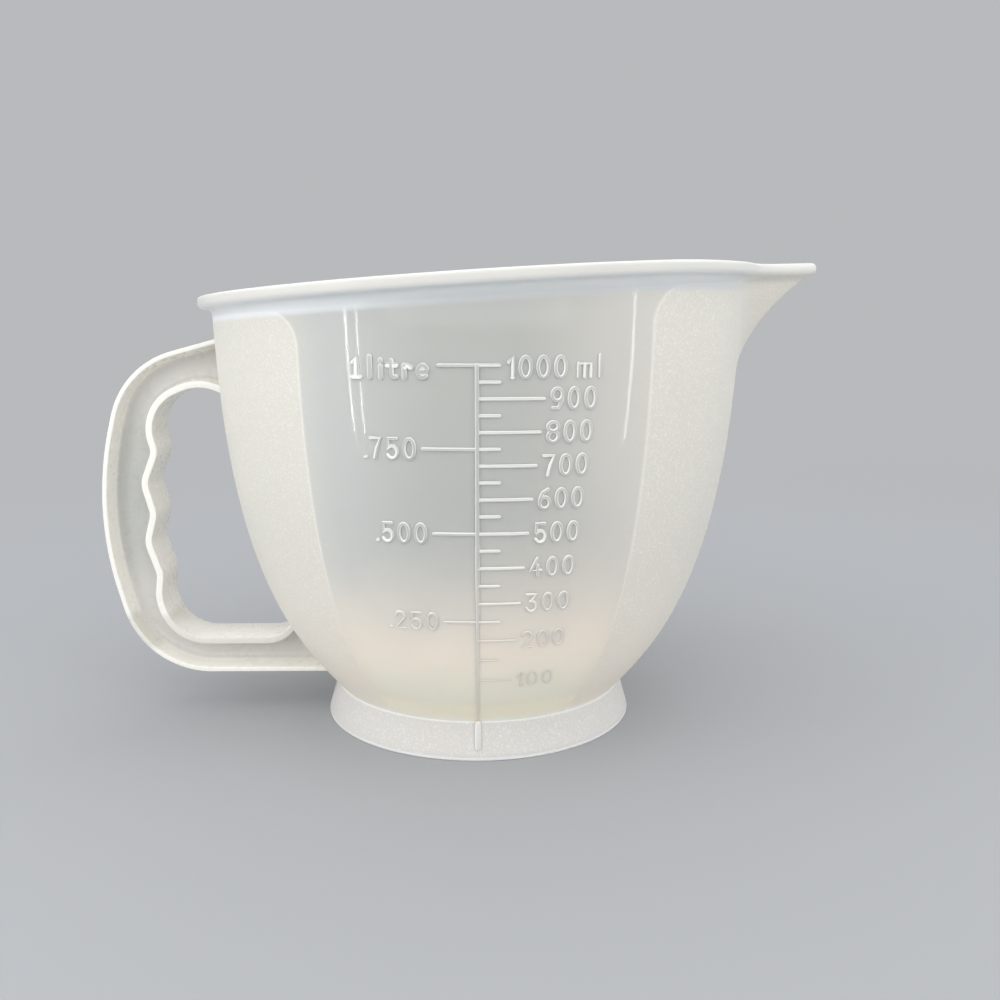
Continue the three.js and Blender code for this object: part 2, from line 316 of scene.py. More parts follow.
    def spout_pull(self, height: float, side: float) -> float:
        """How far the spout draws a point outwards.

        Args:
            height: The point's height before the lean.
            side: Its angle from the spout's middle plane, in degrees.

        Returns:
            The distance along its radius.
        """
        foot = self.rim_height - self.spout_depth
        full = self.rim_height + self.spout_full_rise
        nose = height + self.lean_share(height) * self.lean * (self.mouth_radius + self.spout_reach)
        rise = clamp((nose - foot) / (full - foot))
        share = self.spout_share(side, rise)
        return self.spout_reach * rise**self.spout_curve * share**self.spout_pinch

    def spout_share(self, side: float, rise: float) -> float:
        """How close an angle is to the spout's middle, from 0 at its border to 1.

        Args:
            side: The angle from the middle, in degrees.
            rise: The share of the spout's depth that lies below.

        Returns:
            The share.
        """
        half = lerp(*self.spout_half_widths, rise)
        rounded = math.hypot(side, self.spout_nose) - self.spout_nose
        return max(0.0, 1 - rounded / (math.hypot(half, self.spout_nose) - self.spout_nose))

    def nosed(self, radius: float, height: float, side: float) -> float:
        """The section's radius where the lip becomes the spout's nose: round above, filled below.

        Args:
            radius: A point's radius in the section.
            height: Its height in the section.
            side: Its angle from the spout's middle plane, in degrees.

        Returns:
            The new radius.
        """
        share = smooth_share(self.spout_share(side, 1.0), 0.0, self.nose_share)
        half = self.lip_edge / 2
        above = height - (self.rim_height - half)
        wanted = radius
        if above > 0:
            recess = half - math.sqrt(max(0.0, half**2 - above**2))
            depth = self.lip_overhang + self.wall
            wanted = radius - recess * (radius - self.mouth_radius + self.wall) / depth
        elif radius > self.mouth_radius - self.outer_slack:
            reach, depth = self.tip_fill
            wanted = max(radius, self.mouth_radius + reach * clamp(1 + (above + half) / depth))
        return lerp(radius, wanted, share)

    def shaped(self, radius: float, height: float, angle: float) -> Triple:
        """A point of the turned section after the spout is drawn and the rim leans.

        Args:
            radius: Its radius in the section.
            height: Its height in the section.
            angle: Its angle from the spout, in radians.

        Returns:
            Its place.
        """
        side = abs(math.degrees(angle))
        reach = self.nosed(radius, height, side) + self.spout_pull(height, side)
        x = reach * math.cos(angle)
        y = reach * math.sin(angle)
        leaning = self.lean_share(height)
        dip = self.dip * leaning * (1 - smooth_share(side, *self.dip_sides))
        return x, y, height + leaning * self.lean * x - dip

    def wall_slope(self, height: float) -> float:
        """How much the outer wall's radius grows for each step upwards."""
        step = 0.5
        return (self.wall_radius(height + step) - self.wall_radius(height - step)) / (2 * step)

    def on_front(self, across: float, height: float, lift: float) -> Vector:
        """A place on the front of the wall or the foot.

        Args:
            across: The distance round the wall from its middle line, to the right.
            height: The height.
            lift: How far the place stands off the surface.

        Returns:
            The place in the row frame, in metres.
        """
        radius = self.wall_radius(height)
        slope = self.wall_slope(height)
        out = lift / math.hypot(1, slope)
        angle = across / radius
        stand = radius + out
        x = stand * math.sin(angle)
        z = height - out * slope
        return in_row((x, -stand * math.cos(angle), z + self.lean_share(z) * self.lean * x))


FORM = BowlForm()


def bare_object(name: str) -> bpy.types.Object:
    """Names the object that was just added, and its mesh.

    Args:
        name: The new name.

    Returns:
        The object.
    """
    piece = bpy.context.object
    piece.name = name
    piece.data.name = name
    return piece


def select_only(*pieces: bpy.types.Object) -> None:
    """Deselects everything else and makes the first of some pieces the active one.

    Args:
        pieces: What is selected, if anything.
    """
    bpy.ops.object.select_all(action="DESELECT")
    for piece in reversed(pieces):
        piece.select_set(True)
        bpy.context.view_layer.objects.active = piece


def recalculate_outwards(piece: bpy.types.Object) -> None:
    """Merges a piece's doubles and turns all its faces outwards.

    Args:
        piece: The mesh object, in object mode.
    """
    select_only(piece)
    bpy.ops.object.mode_set(mode="EDIT")
    bpy.ops.mesh.select_all(action="SELECT")
    bpy.ops.mesh.remove_doubles(threshold=MERGE_DISTANCE)
    bpy.ops.mesh.normals_make_consistent(inside=False)
    bpy.ops.object.mode_set(mode="OBJECT")


def smooth(piece: bpy.types.Object, degrees: float) -> None:
    """Shades a piece smooth, with edges sharper than the angle left crisp."""
    select_only(piece)
    bpy.ops.object.shade_smooth_by_angle(angle=math.radians(degrees))


def drawn_chain(name: str, points: list[Vector]) -> bpy.types.Object:
    """Draws an open chain of edges: a plane's one corner is extruded from point to point.

    Args:
        name: The new object's name.
        points: The places along the chain, in metres.

    Returns:
        The object, left in edit mode with all of it selected.
    """
    select_only()
    bpy.ops.mesh.primitive_plane_add(size=MM)
    piece = bare_object(name)
    bpy.ops.object.mode_set(mode="EDIT")
    mesh = bmesh.from_edit_mesh(piece.data)
    mesh.verts.ensure_lookup_table()
    bpy.ops.mesh.select_all(action="DESELECT")
    for corner in mesh.verts[1:]:
        corner.select = True
    bpy.ops.mesh.delete(type="VERT")
    mesh = bmesh.from_edit_mesh(piece.data)
    mesh.verts.ensure_lookup_table()
    mesh.verts[0].select = True
    mesh.verts[0].co = points[0]
    for start, end in zip(points, points[1:]):
        bpy.ops.mesh.extrude_region_move(TRANSFORM_OT_translate={"value": end - start})
    bpy.ops.mesh.select_all(action="SELECT")
    return piece


def turned(name: str, section: list[Pair], segments: int) -> bpy.types.Object:
    """Spins a section that starts and ends on the axis into a closed solid about Z.

    Args:
        name: The new object's name.
        section: The radius and height of each point, in millimetres.
        segments: How many steps the turn has.

    Returns:
        The object, in object mode, with its axis at the world's.
    """
    piece = drawn_chain(name, [Vector((r * MM, 0, z * MM)) for r, z in section])
    bpy.ops.mesh.spin(steps=segments, angle=math.tau, center=(0, 0, 0), axis=(0, 0, 1))
    bpy.ops.object.mode_set(mode="OBJECT")
    recalculate_outwards(piece)
    return piece


def move_vertices(piece: bpy.types.Object, places: np.ndarray) -> None:
    """Puts each vertex of a turned piece at its new place.

    Args:
        piece: The piece, which is turned about the world's axis.
        places: The places in metres about the bowl's axis, one row each.
    """
    moved = places + np.array((AXIS_X, 0.0, 0.0))
    piece.data.vertices.foreach_set("co", moved.astype(np.float32).ravel())
    piece.data.update()


def vertex_places(piece: bpy.types.Object) -> np.ndarray:
    """Reads where a piece's vertices are.

    Args:
        piece: The mesh object.

    Returns:
        Their places in metres, one row each.
    """
    flat = np.empty(len(piece.data.vertices) * 3, dtype=np.float32)
    piece.data.vertices.foreach_get("co", flat)
    return flat.reshape(-1, 3)


class RingTube:
    """A tube drawn in edit mode: a first ring of vertices is extruded from place to place."""

    def __init__(self, name: str) -> None:
        """Starts an empty piece in edit mode.

        Args:
            name: The new object's name.
        """
        select_only()
        bpy.ops.mesh.primitive_circle_add(vertices=3, radius=MM)
        self.piece = bare_object(name)
        bpy.ops.object.mode_set(mode="EDIT")
        bpy.ops.mesh.delete(type="VERT")

    def selected(self) -> list[bmesh.types.BMVert]:
        """The selected vertices of the piece's edit mesh."""
        self.mesh = bmesh.from_edit_mesh(self.piece.data)
        return [vertex for vertex in self.mesh.verts if vertex.select]

    def cap(self) -> None:
        """Closes the selected ring with one face."""
        bpy.ops.mesh.edge_face_add()

    @staticmethod
    def nearest_first(vertices: list[bmesh.types.BMVert], ring: list[Vector]) -> list[bmesh.types.BMVert]:
        """The vertices in the order of the ring's places that they are at."""
        return [min(vertices, key=lambda vertex: (vertex.co - place).length) for place in ring]

    def draw(self, rings: list[list[Vector]], closed: bool = False) -> None:
        """Draws a tube through rings that all have the same number of points.

        Args:
            rings: The places of each ring's points, in metres.
            closed: Whether the last ring is joined to the first one instead of capped.
        """
        bpy.ops.mesh.select_all(action="DESELECT")
        bpy.ops.mesh.primitive_circle_add(vertices=len(rings[0]), radius=MM)
        order = self.selected()
        for vertex, place in zip(order, rings[0]):
            vertex.co = place
        if not closed:
            self.cap()
            order = self.selected()
        places = {tuple(vertex.co): i for i, vertex in enumerate(self.nearest_first(order, rings[0]))}
        for ring in rings[1:] + (rings[:1] if closed else []):
            bpy.ops.mesh.extrude_edges_move()
            fresh = [(places[tuple(vertex.co)], vertex) for vertex in self.selected()]
            for i, vertex in fresh:
                vertex.co = ring[i]
            places = {tuple(vertex.co): i for i, vertex in fresh}
        if not closed:
            self.cap()

    def finish(self) -> bpy.types.Object:
        """Leaves edit mode, with doubles merged and faces outwards.

        Returns:
            The piece.
        """
        bpy.ops.object.mode_set(mode="OBJECT")
        recalculate_outwards(self.piece)
        return self.piece


class Term:
    """A number in a material's node tree, with the arithmetic of ordinary numbers."""

    def __init__(self, maker: "Shading", socket: bpy.types.NodeSocket) -> None:
        """Wraps the output socket that carries the number, and keeps its node tree's helper."""
        self.maker = maker
        self.socket = socket

    def _math(self, operation: str, *others: "Term | float") -> "Term":
        """A Math node that starts with this number."""
        return self.maker.math(operation, self, *others)

    def __add__(self, other: "Term | float") -> "Term":
        """The sum."""
        return self._math("ADD", other)

    def __sub__(self, other: "Term | float") -> "Term":
        """The difference."""
        return self._math("SUBTRACT", other)

    def __mul__(self, other: "Term | float") -> "Term":
        """The product."""
        return self._math("MULTIPLY", other)

    def __truediv__(self, other: "Term | float") -> "Term":
        """The quotient."""
        return self._math("DIVIDE", other)

    def __rsub__(self, other: float) -> "Term":
        """The difference from a plain number."""
        return self.maker.math("SUBTRACT", other, self)

    def __rtruediv__(self, other: float) -> "Term":
        """The quotient of a plain number."""
        return self.maker.math("DIVIDE", other, self)

    def __abs__(self) -> "Term":
        """The number without its sign."""
        return self._math("ABSOLUTE")

    def __pow__(self, power: float) -> "Term":
        """The number raised to a power."""
        return self._math("POWER", power)

    __radd__ = __add__
    __rmul__ = __mul__

    def at_least(self, low: float) -> "Term":
        """The number, or low where it is smaller."""
        return self._math("MAXIMUM", low)

    def rise(self, low: float, high: float) -> "Term":
        """A number that goes smoothly from 0 to 1 while this one rises.

        Args:
            low: Where it leaves 0.
            high: Where it reaches 1.

        Returns:
            The new number.
        """
        inputs = {"Value": self, "From Min": low, "From Max": high}
        ramp = self.maker.node("ShaderNodeMapRange", inputs, interpolation_type="SMOOTHSTEP")
        return Term(self.maker, ramp.outputs["Result"])

    def fall(self, low: float, high: float) -> "Term":
        """A number that goes smoothly from 1 at low to 0 at high."""
        return 1.0 - self.rise(low, high)


class Shading:
    """Builds the nodes of one material."""

    def __init__(self, name: str) -> None:
        """Starts a material that has no nodes yet.

        Args:
            name: The material's name.
        """
        self.material = bpy.data.materials.new(name)
        self.material.use_nodes = True
        self.nodes = self.material.node_tree.nodes
        self.links = self.material.node_tree.links
        self.nodes.clear()

    def node(
        self, kind: str, inputs: dict[str | int, object] | None = None, **settings: object
    ) -> bpy.types.Node:
        """Adds any node.

        Args:
            kind: The node's type name.
            inputs: What goes into its sockets, by name or number: a Term, a socket or a value.
            settings: Its own properties.

        Returns:
            The node.
        """
        made = self.nodes.new(kind)
        for setting, value in settings.items():
            setattr(made, setting, value)
        for socket, value in (inputs or {}).items():
            source = value.socket if isinstance(value, Term) else value
            if isinstance(source, bpy.types.NodeSocket):
                self.links.new(source, made.inputs[socket])
            else:
                made.inputs[socket].default_value = source
        return made

    def math(self, operation: str, *values: Term | float) -> Term:
        """Adds a Math node and returns its number."""
        made = self.node("ShaderNodeMath", dict(enumerate(values)), operation=operation)
        return Term(self, made.outputs[0])

    def parts(self, vector: bpy.types.NodeSocket) -> list[Term]:
        """The X, Y and Z of a vector."""
        apart = self.node("ShaderNodeSeparateXYZ", {0: vector})
        return [Term(self, output) for output in apart.outputs]

    def place(self) -> tuple[Term, Term, Term]:
        """The shaded point about the bowl's axis, in millimetres."""
        x, y, z = (part / MM for part in self.parts(self.node("ShaderNodeTexCoord").outputs["Object"]))
        return x - AXIS_X / MM, y, z

    def facing(self) -> list[Term]:
        """The direction that the surface faces."""
        return self.parts(self.node("ShaderNodeNewGeometry").outputs["Normal"])

    def noise(self, size: float, detail: float = 2.0) -> Term:
        """Noise from 0 to 1.

        Args:
            size: The size of its grains, in millimetres.
            detail: How many finer layers it has.

        Returns:
            The noise.
        """
        coordinates = self.node("ShaderNodeTexCoord")
        scale = (1 / (size * MM),) * 3
        mapping = self.node("ShaderNodeMapping", {0: coordinates.outputs["Object"], "Scale": scale})
        inputs = {"Vector": mapping.outputs[0], "Scale": 1.0, "Detail": detail}
        return Term(self, self.node("ShaderNodeTexNoise", inputs).outputs[0])

    def mix(self, share: Term | float, low: Colour, high: Colour) -> bpy.types.NodeSocket:
        """Mixes two colours.

        Args:
            share: How much of the second colour there is.
            low: The first colour, or a socket that carries it.
            high: The second colour, or a socket that carries it.

        Returns:
            The mixed colour's socket.
        """
        made = self.node("ShaderNodeMix", {0: share}, data_type="RGBA")
        for socket, colour in ((made.inputs[6], low), (made.inputs[7], high)):
            if isinstance(colour, bpy.types.NodeSocket):
                self.links.new(colour, socket)
            else:
                socket.default_value = (*colour, 1.0)
        return made.outputs[2]

    def bump(self, height: Term, distance: float) -> bpy.types.NodeSocket:
        """Turns a height from 0 to 1, which stands for a distance in millimetres, into a normal."""
        inputs = {"Height": height, "Distance": distance * MM, "Strength": 1.0}
        return self.node("ShaderNodeBump", inputs).outputs[0]

    def finish(self, shader: bpy.types.Node) -> bpy.types.Material:
        """Joins a shader to the output and returns the material."""
        self.node("ShaderNodeOutputMaterial", {"Surface": shader.outputs[0]})
        return self.material


class Surface(Enum):
    """How the mould's steel leaves a part of the plastic."""

    ZONED = "polished panels at the front and back, spark-textured sides and foot"
    # The scale's bright edges are partly painted highlights in its colour
    RAISED = "polished, with edges that catch the light, as on the scale"
    SATIN = "slightly dull, as on the handle"


@dataclass(frozen=True)
class Polypropylene:
    """Milky, translucent polypropylene with its mould's finish, and some painted light and shade.

    A pair of places, in millimetres, is where a change starts and where it ends: across along X,
    deep along Y and up along Z. foot_top_up, foot_inside, cove_up, dim_up and rim_up are counted
    from the height or the radius that the form has there, and web_up and limb_up from the middles
    named above them.
    """

    name: str
    surface: Surface

    # Colours, some of them painted highlights and painted shade
    cool: Triple = (0.60, 0.61, 0.59)
    warm: Triple = (0.655, 0.64, 0.60)
    # Grey: painted shade at the front's middle, and also the handle web's middle
    grey: Triple = (0.515, 0.52, 0.49)
    # Cream: partly the thicker plastic's own tint, partly painted light that the bottom catches from below
    cream: Triple = (0.97, 0.89, 0.78)
    deep_cream: Triple = (0.99, 0.865, 0.72)
    frost: Triple = (0.75, 0.73, 0.665)
    foot: Triple = (0.69, 0.67, 0.635)
    # Painted shade in the cove under the lip: pale blue-grey above, darker low down
    shade: Triple = (0.86, 0.88, 0.89)
    low_shade: Triple = (0.66, 0.68, 0.69)
    # Painted light: the lip's outward edge band is brighter than the wall
    rim: Triple = (0.73, 0.72, 0.685)
    # Painted highlights mix towards this colour: sparkle, texture border, crease, foot edge and scale
    # edges
    light: Triple = (0.93, 0.92, 0.87)
    web: Triple = (0.66, 0.645, 0.61)
    # Painted light: the handle's walls are this pale colour
    lit_wall: Triple = (0.94, 0.915, 0.85)

    # The polished panels: their sides are angles from the front's middle, in degrees
    panel_sides: Pair = (-34.4, 33.3)
    panel_radius: float = 65.0
    panel_top: float = 113.2
    panel_corner: float = 8.5
    panel_nose_across: Pair = (60.0, 76.0)
    facing_out: Pair = (-0.5, 0.5)

    # The thin wall, with painted shade at the front's middle and partly painted light low down
    cloud_size: float = 14.0
    cloud_warmth: float = 0.6
    cloud_cream: float = 0.15
    warm_across: Pair = (-25.0, 20.0)
    middle_across: Pair = (6.0, 34.0)
    middle_deep: Pair = (-50.0, -30.0)
    middle_up: Pair = (30.0, 75.0)
    middle_share: float = 0.8
    cream_up: Pair = (12.0, 80.0)
    cream_power: float = 1.4
    thick_up: Pair = (16.0, 17.6)
    thick_share: float = 0.6

    # The textured sides, with painted sparkle and a painted highlight along their border
    flecks: Pair = (0.5, 0.72)
    fleck_share: float = 0.45
    foot_fleck_share: float = 0.35
    frost_across: Pair = (-20.0, 60.0)
    frost_warmth: float = 0.3
    frost_up: Pair = (10.0, 60.0)
    frost_cream: float = 0.6
    near_texture: Pair = (-8.0, 3.0)
    near_share: float = 0.4
    in_texture: Pair = (-0.2, 0.5)
    in_share: float = 0.5
    # Painted highlight: a pale line just inside the texture's border
    seam: float = 0.2
    seam_widths: Pair = (0.1, 0.7)
    seam_up: Pair = (22.0, 60.0)
    seam_share: float = 0.3

    # The foot, the crease above it, the cove and the rim, with their painted highlights and shade
    # Painted highlights along the crease and the foot's bottom edge
    crease_line: float = 0.3
    crease_widths: Pair = (0.4, 1.0)
    crease_share: float = 0.8
    foot_edge_up: Pair = (0.6, 1.1)
    foot_top_up: Pair = (-0.3, 0.3)
    foot_inside: Pair = (-2.4, -1.4)
    dip_across: Pair = (44.0, 66.0)
    cove_up: Pair = (-0.5, 1.0)
    cove_across: Pair = (56.0, 76.0)
    cove_share: float = 0.85
    dim_across: Pair = (-50.0, 0.0)
    dim_up: Pair = (1.0, 3.5)
    rim_up: Pair = (-0.1, 0.9)

    # The raised scale, with painted highlights on its edges
    rib_up: Pair = (8.6, 9.6)
    shown_up: Pair = (24.0, 52.0)
    faint: float = 0.15
    top_dark: float = 0.12
    edge_share: float = 0.9

    # The handle, with painted light on its walls
    web_middle: float = 60.0
    web_up: Pair = (8.0, 34.0)
    web_facing: Pair = (0.2, 0.7)
    web_deep: Pair = (1.0, 2.8)
    limb_middle: float = 23.0
    limb_up: Pair = (3.5, 6.0)
    limb_share: float = 0.9

    # Roughness and grain
    polish: float = 0.06
    dull: float = 0.5
    relief_dull: float = 0.15
    foot_texture: float = 0.7
    cove_texture: float = 0.5
    spot_size: float = 3.0
    spot_share: float = 0.1
    grain: float = 0.55
    grain_height: float = 0.05
    wave_size: float = 9.0
    wave_share: float = 0.2
    ripple_size: float = 5.0

    # Light inside the plastic
    refraction: float = 1.49
    scatter: float = 1.6
    scatter_radii: Triple = (1.0, 0.95, 0.85)
    depth: float = 1.0

    def inside_texture(self, shading: Shading) -> Term:
        """How far a point is inside the spark-textured sides, beside the polished panels.

        Args:
            shading: The material's node tree.

        Returns:
            The distance from the texture's border in millimetres, negative on the panels.
        """
        x, y, z = shading.place()
        left, right = self.panel_sides
        side = shading.math("ARCTAN2", abs(x), abs(y))
        right_half = x.rise(-1.0, 1.0)
        border = right_half * math.radians(right + left) - math.radians(left)
        beside = (side - border) * self.panel_radius
        to_edge = FORM.rim_height - FORM.lip_edge - self.panel_top
        top = self.panel_top + x.rise(*self.panel_nose_across) * to_edge
        below = top - (z - x * FORM.lean)
        corner = self.panel_corner
        across = (corner - beside).at_least(0.0)
        upward = (corner - below).at_least(0.0)
        return corner - (across**2.0 + upward**2.0) ** 0.5

    def outside(self, shading: Shading) -> Term:
        """Tells the bowl's outside from its inside.

        Args:
            shading: The material's node tree.

        Returns:
            1 on the outside and 0 on the inside.
        """
        x, y, _ = shading.place()
        out_x, out_y, _ = shading.facing()
        return (out_x * x + out_y * y).rise(*self.facing_out)

    def plain(self, shading: Shading) -> bpy.types.NodeSocket:
        """The thin wall's colour: painted shade mid-front; cream below from thickness and painted light.

        Args:
            shading: The material's node tree.

        Returns:
            The colour's socket.
        """
        x, y, z = shading.place()
        cloud = shading.noise(self.cloud_size, detail=3.0) - 0.5
        warmth = x.rise(*self.warm_across) + cloud * self.cloud_warmth
        clear = shading.mix(warmth, self.cool, self.warm)
        # Painted shade: the front's middle, from mid-height up, is greyer where the darker inside shows
        # through
        middle = abs(x).fall(*self.middle_across) * y.fall(*self.middle_deep) * z.rise(*self.middle_up)
        clear = shading.mix(middle * self.middle_share, clear, self.grey)
        # Towards the bottom the wall turns cream: partly its thicker plastic, partly painted light from
        # below
        low = z.fall(*self.cream_up) ** self.cream_power + cloud * self.cloud_cream
        colour = shading.mix(low.rise(0.0, 1.0), clear, self.cream)
        return shading.mix(z.fall(*self.thick_up) * self.thick_share, colour, self.deep_cream)

    def bowl(self, shading: Shading, inset: Term, outside: Term) -> bpy.types.NodeSocket:
        """The bowl's colour: texture, thick floor, foot, painted cove shade and painted edge highlights.

        Args:
            shading: The material's node tree.
            inset: How far a point is inside the texture.
            outside: 1 on the outside and 0 on the inside.

        Returns:
            The colour's socket.
        """
        x, _, z = shading.place()
        # Painted sparkle: pale specks mixed into the textured sides and the foot
        sparkle = shading.noise(self.grain, detail=1.0).rise(*self.flecks)
        frost = shading.mix(x.rise(*self.frost_across) * self.frost_warmth, self.frost, self.warm)
        # Low down the frost turns cream too: partly thicker plastic, partly painted light from below
        frost = shading.mix(z.fall(*self.frost_up) * self.frost_cream, frost, self.cream)
        frost = shading.mix(sparkle * self.fleck_share, frost, self.light)
        near = inset.rise(*self.near_texture) * self.near_share
        tone = (near + inset.rise(*self.in_texture) * self.in_share) * outside
        colour = shading.mix(tone, self.plain(shading), frost)
        # Painted highlight: a pale line just inside the texture's border, on the outside, stronger higher
        # up
        seam = abs(inset - self.seam).fall(*self.seam_widths) * outside
        colour = shading.mix(seam * z.rise(*self.seam_up) * self.seam_share, colour, self.light)
        foot = shading.mix(sparkle * self.foot_fleck_share, self.foot, self.light)
        colour = shading.mix(self.on_foot(shading), colour, foot)
        # Painted highlights: a pale line along the crease on the outside, and along the foot's bottom edge
        crease = abs(z - FORM.crease_height - self.crease_line).fall(*self.crease_widths)
        line = crease * outside * self.crease_share + z.fall(*self.foot_edge_up)
        colour = shading.mix(line, colour, self.light)
        level = self.below_rim(shading)
        # Painted shade in the cove under the lip's edge: deeper low in the cove from the middle
        # rightwards, fading out at the spout
        dim = x.rise(*self.dim_across) * level.fall(*counted_from(FORM.wall_top, self.dim_up))
        shade = shading.mix(dim, self.shade, self.low_shade)
        shaded = self.cove(shading) * x.fall(*self.cove_across) * self.cove_share
        colour = shading.mix(shaded, colour, shade)
        # Painted light: the lip's edge band, from its foot to its top, is brighter than the wall
        lip_foot = FORM.rim_height - FORM.lip_edge
        return shading.mix(level.rise(*counted_from(lip_foot, self.rim_up)), colour, self.rim)

    def on_foot(self, shading: Shading) -> Term:
        """Tells the foot ring from the wall above it and from the floor inside it.

        Args:
            shading: The material's node tree.

        Returns:
            1 on the foot ring and 0 elsewhere.
        """
        x, y, z = shading.place()
        radius = (x**2.0 + y**2.0) ** 0.5
        beyond_floor = radius.rise(*counted_from(FORM.crease_radius, self.foot_inside))
        return z.fall(*counted_from(FORM.crease_height, self.foot_top_up)) * beyond_floor

    def below_rim(self, shading: Shading) -> Term:
        """The height that a point would have if the rim were level."""
        x, _, z = shading.place()
        return z - x * FORM.lean + x.rise(*self.dip_across) * FORM.dip

    def cove(self, shading: Shading) -> Term:
        """1 where the wall turns out below the lip's edge, and above it."""
        return self.below_rim(shading).rise(*counted_from(FORM.wall_top, self.cove_up))

    def raised(self, shading: Shading) -> bpy.types.NodeSocket:
        """The scale's colour: like the wall on its flat tops, with painted highlights on its edges, faint
        low down.

        Args:
            shading: The material's node tree.

        Returns:
            The colour's socket.
        """
        _, _, z = shading.place()
        # Painted highlights on the steep edges, faint low on the wall and full on the foot's rib
        edge = Term(shading, shading.node("ShaderNodeAttribute", attribute_name="edge").outputs["Fac"])
        on_rib = z.fall(*self.rib_up)
        full = 1.0 - self.faint
        highlight_strength = z.rise(*self.shown_up) * full + self.faint + on_rib * full
        flat = shading.mix(on_rib, self.plain(shading), self.foot)
        top = shading.mix(self.top_dark, flat, BLACK)
        return shading.mix(edge * highlight_strength * self.edge_share, top, self.light)

    def grip(self, shading: Shading) -> bpy.types.NodeSocket:
        """The handle's colour: greyish on its thin web, painted light on its walls and their edges.

        Args:
            shading: The material's node tree.

        Returns:
            The colour's socket.
        """
        _, y, z = shading.place()
        web = shading.mix(abs(z - self.web_middle).rise(*self.web_up), self.grey, self.web)
        # Painted light on the walls, a little less on the lower limb
        lower_limb = abs(z - self.limb_middle).fall(*self.limb_up) * self.limb_share
        walls = shading.mix(lower_limb, self.lit_wall, self.frost)
        _, sideways, _ = shading.facing()
        on_web = abs(sideways).rise(*self.web_facing) * abs(y).fall(*self.web_deep)
        return shading.mix(on_web, walls, web)

    def material(self) -> bpy.types.Material:
        """Builds the material.

        Returns:
            The finished material.
        """
        shading = Shading(self.name)
        if self.surface is Surface.ZONED:
            inset = self.inside_texture(shading)
            outside = self.outside(shading)
            colour = self.bowl(shading, inset, outside)
            texture = inset.rise(*self.in_texture) + self.on_foot(shading) * self.foot_texture
            texture = texture.rise(0.0, 1.0) * outside
            duller = texture + self.cove(shading) * self.cove_texture
            roughness = self.polish + duller * (self.dull - self.polish)
            grains = shading.noise(self.grain, detail=1.5) * texture
            waves = shading.noise(self.wave_size, detail=1.0) * self.wave_share
            normal = shading.bump(grains + waves, self.grain_height)
        else:
            raised = self.surface is Surface.RAISED
            colour = self.raised(shading) if raised else self.grip(shading)
            dull = self.relief_dull if raised else (self.polish + self.dull) / 2
            roughness = shading.noise(self.spot_size) * self.spot_share + (dull - self.spot_share / 2)
            normal = shading.bump(shading.noise(self.ripple_size), self.grain_height)
        inputs = {
            "Base Color": colour,
            "Roughness": roughness,
            "Normal": normal,
            "IOR": self.refraction,
            "Subsurface Weight": self.depth,
            "Subsurface Radius": self.scatter_radii,
            "Subsurface Scale": self.scatter * MM,
        }
        return shading.finish(shading.node("ShaderNodeBsdfPrincipled", inputs))


def dress(piece: bpy.types.Object, finish: bpy.types.Material, slot: str, *nodes: str) -> None:
    """Gives a finished piece its material and its place in the part.

    Args:
        piece: The piece.
        finish: Its material.
        slot: The record's material slot, which is not used.
        nodes: The CAD nodes that it stands for.
    """
    piece.data.materials.clear()
    piece.data.materials.append(finish)
    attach(piece, "root")
    if nodes:
        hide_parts(*nodes)
    triangles = sum(len(polygon.vertices) - 2 for polygon in piece.data.polygons)
    log.info("%s: %d triangles", piece.name, triangles)


@dataclass
class BowlBody:
    """The bowl with its floor, rim, spout and foot, as one continuous skin."""

    segments: int = 320
    crowding: float = 0.6
    crisp: float = 50.0
    nodes: tuple[str, ...] = ("bowl_wall", "bowl_floor", "rim_lip", "pouring_spout", "foot_ring")

    def skin(self) -> bpy.types.Object:
        """Turns the section, crowds its steps at the spout, then draws the spout and leans the rim.

        Returns:
            The finished mesh object.
        """
        body = turned("bowl_body", FORM.section(), self.segments)
        places = vertex_places(body) / MM
        for row in places:
            radius = math.hypot(row[0], row[1])
            even = math.atan2(row[1], row[0])
            angle = even - self.crowding * math.sin(even)
            row[:] = FORM.shaped(radius, float(row[2]), angle)
        move_vertices(body, places * MM)
        smooth(body, self.crisp)
        return body

    def build(self, finish: bpy.types.Material) -> None:
        """Models and dresses the body."""
        dress(self.skin(), finish, "clear_plastic", *self.nodes)


@dataclass(frozen=True)
class Corner:
    """A corner of one of the handle's lines, in shares of the handle's reach and height."""

    out: float
    up: float
    radius: float = 0.0


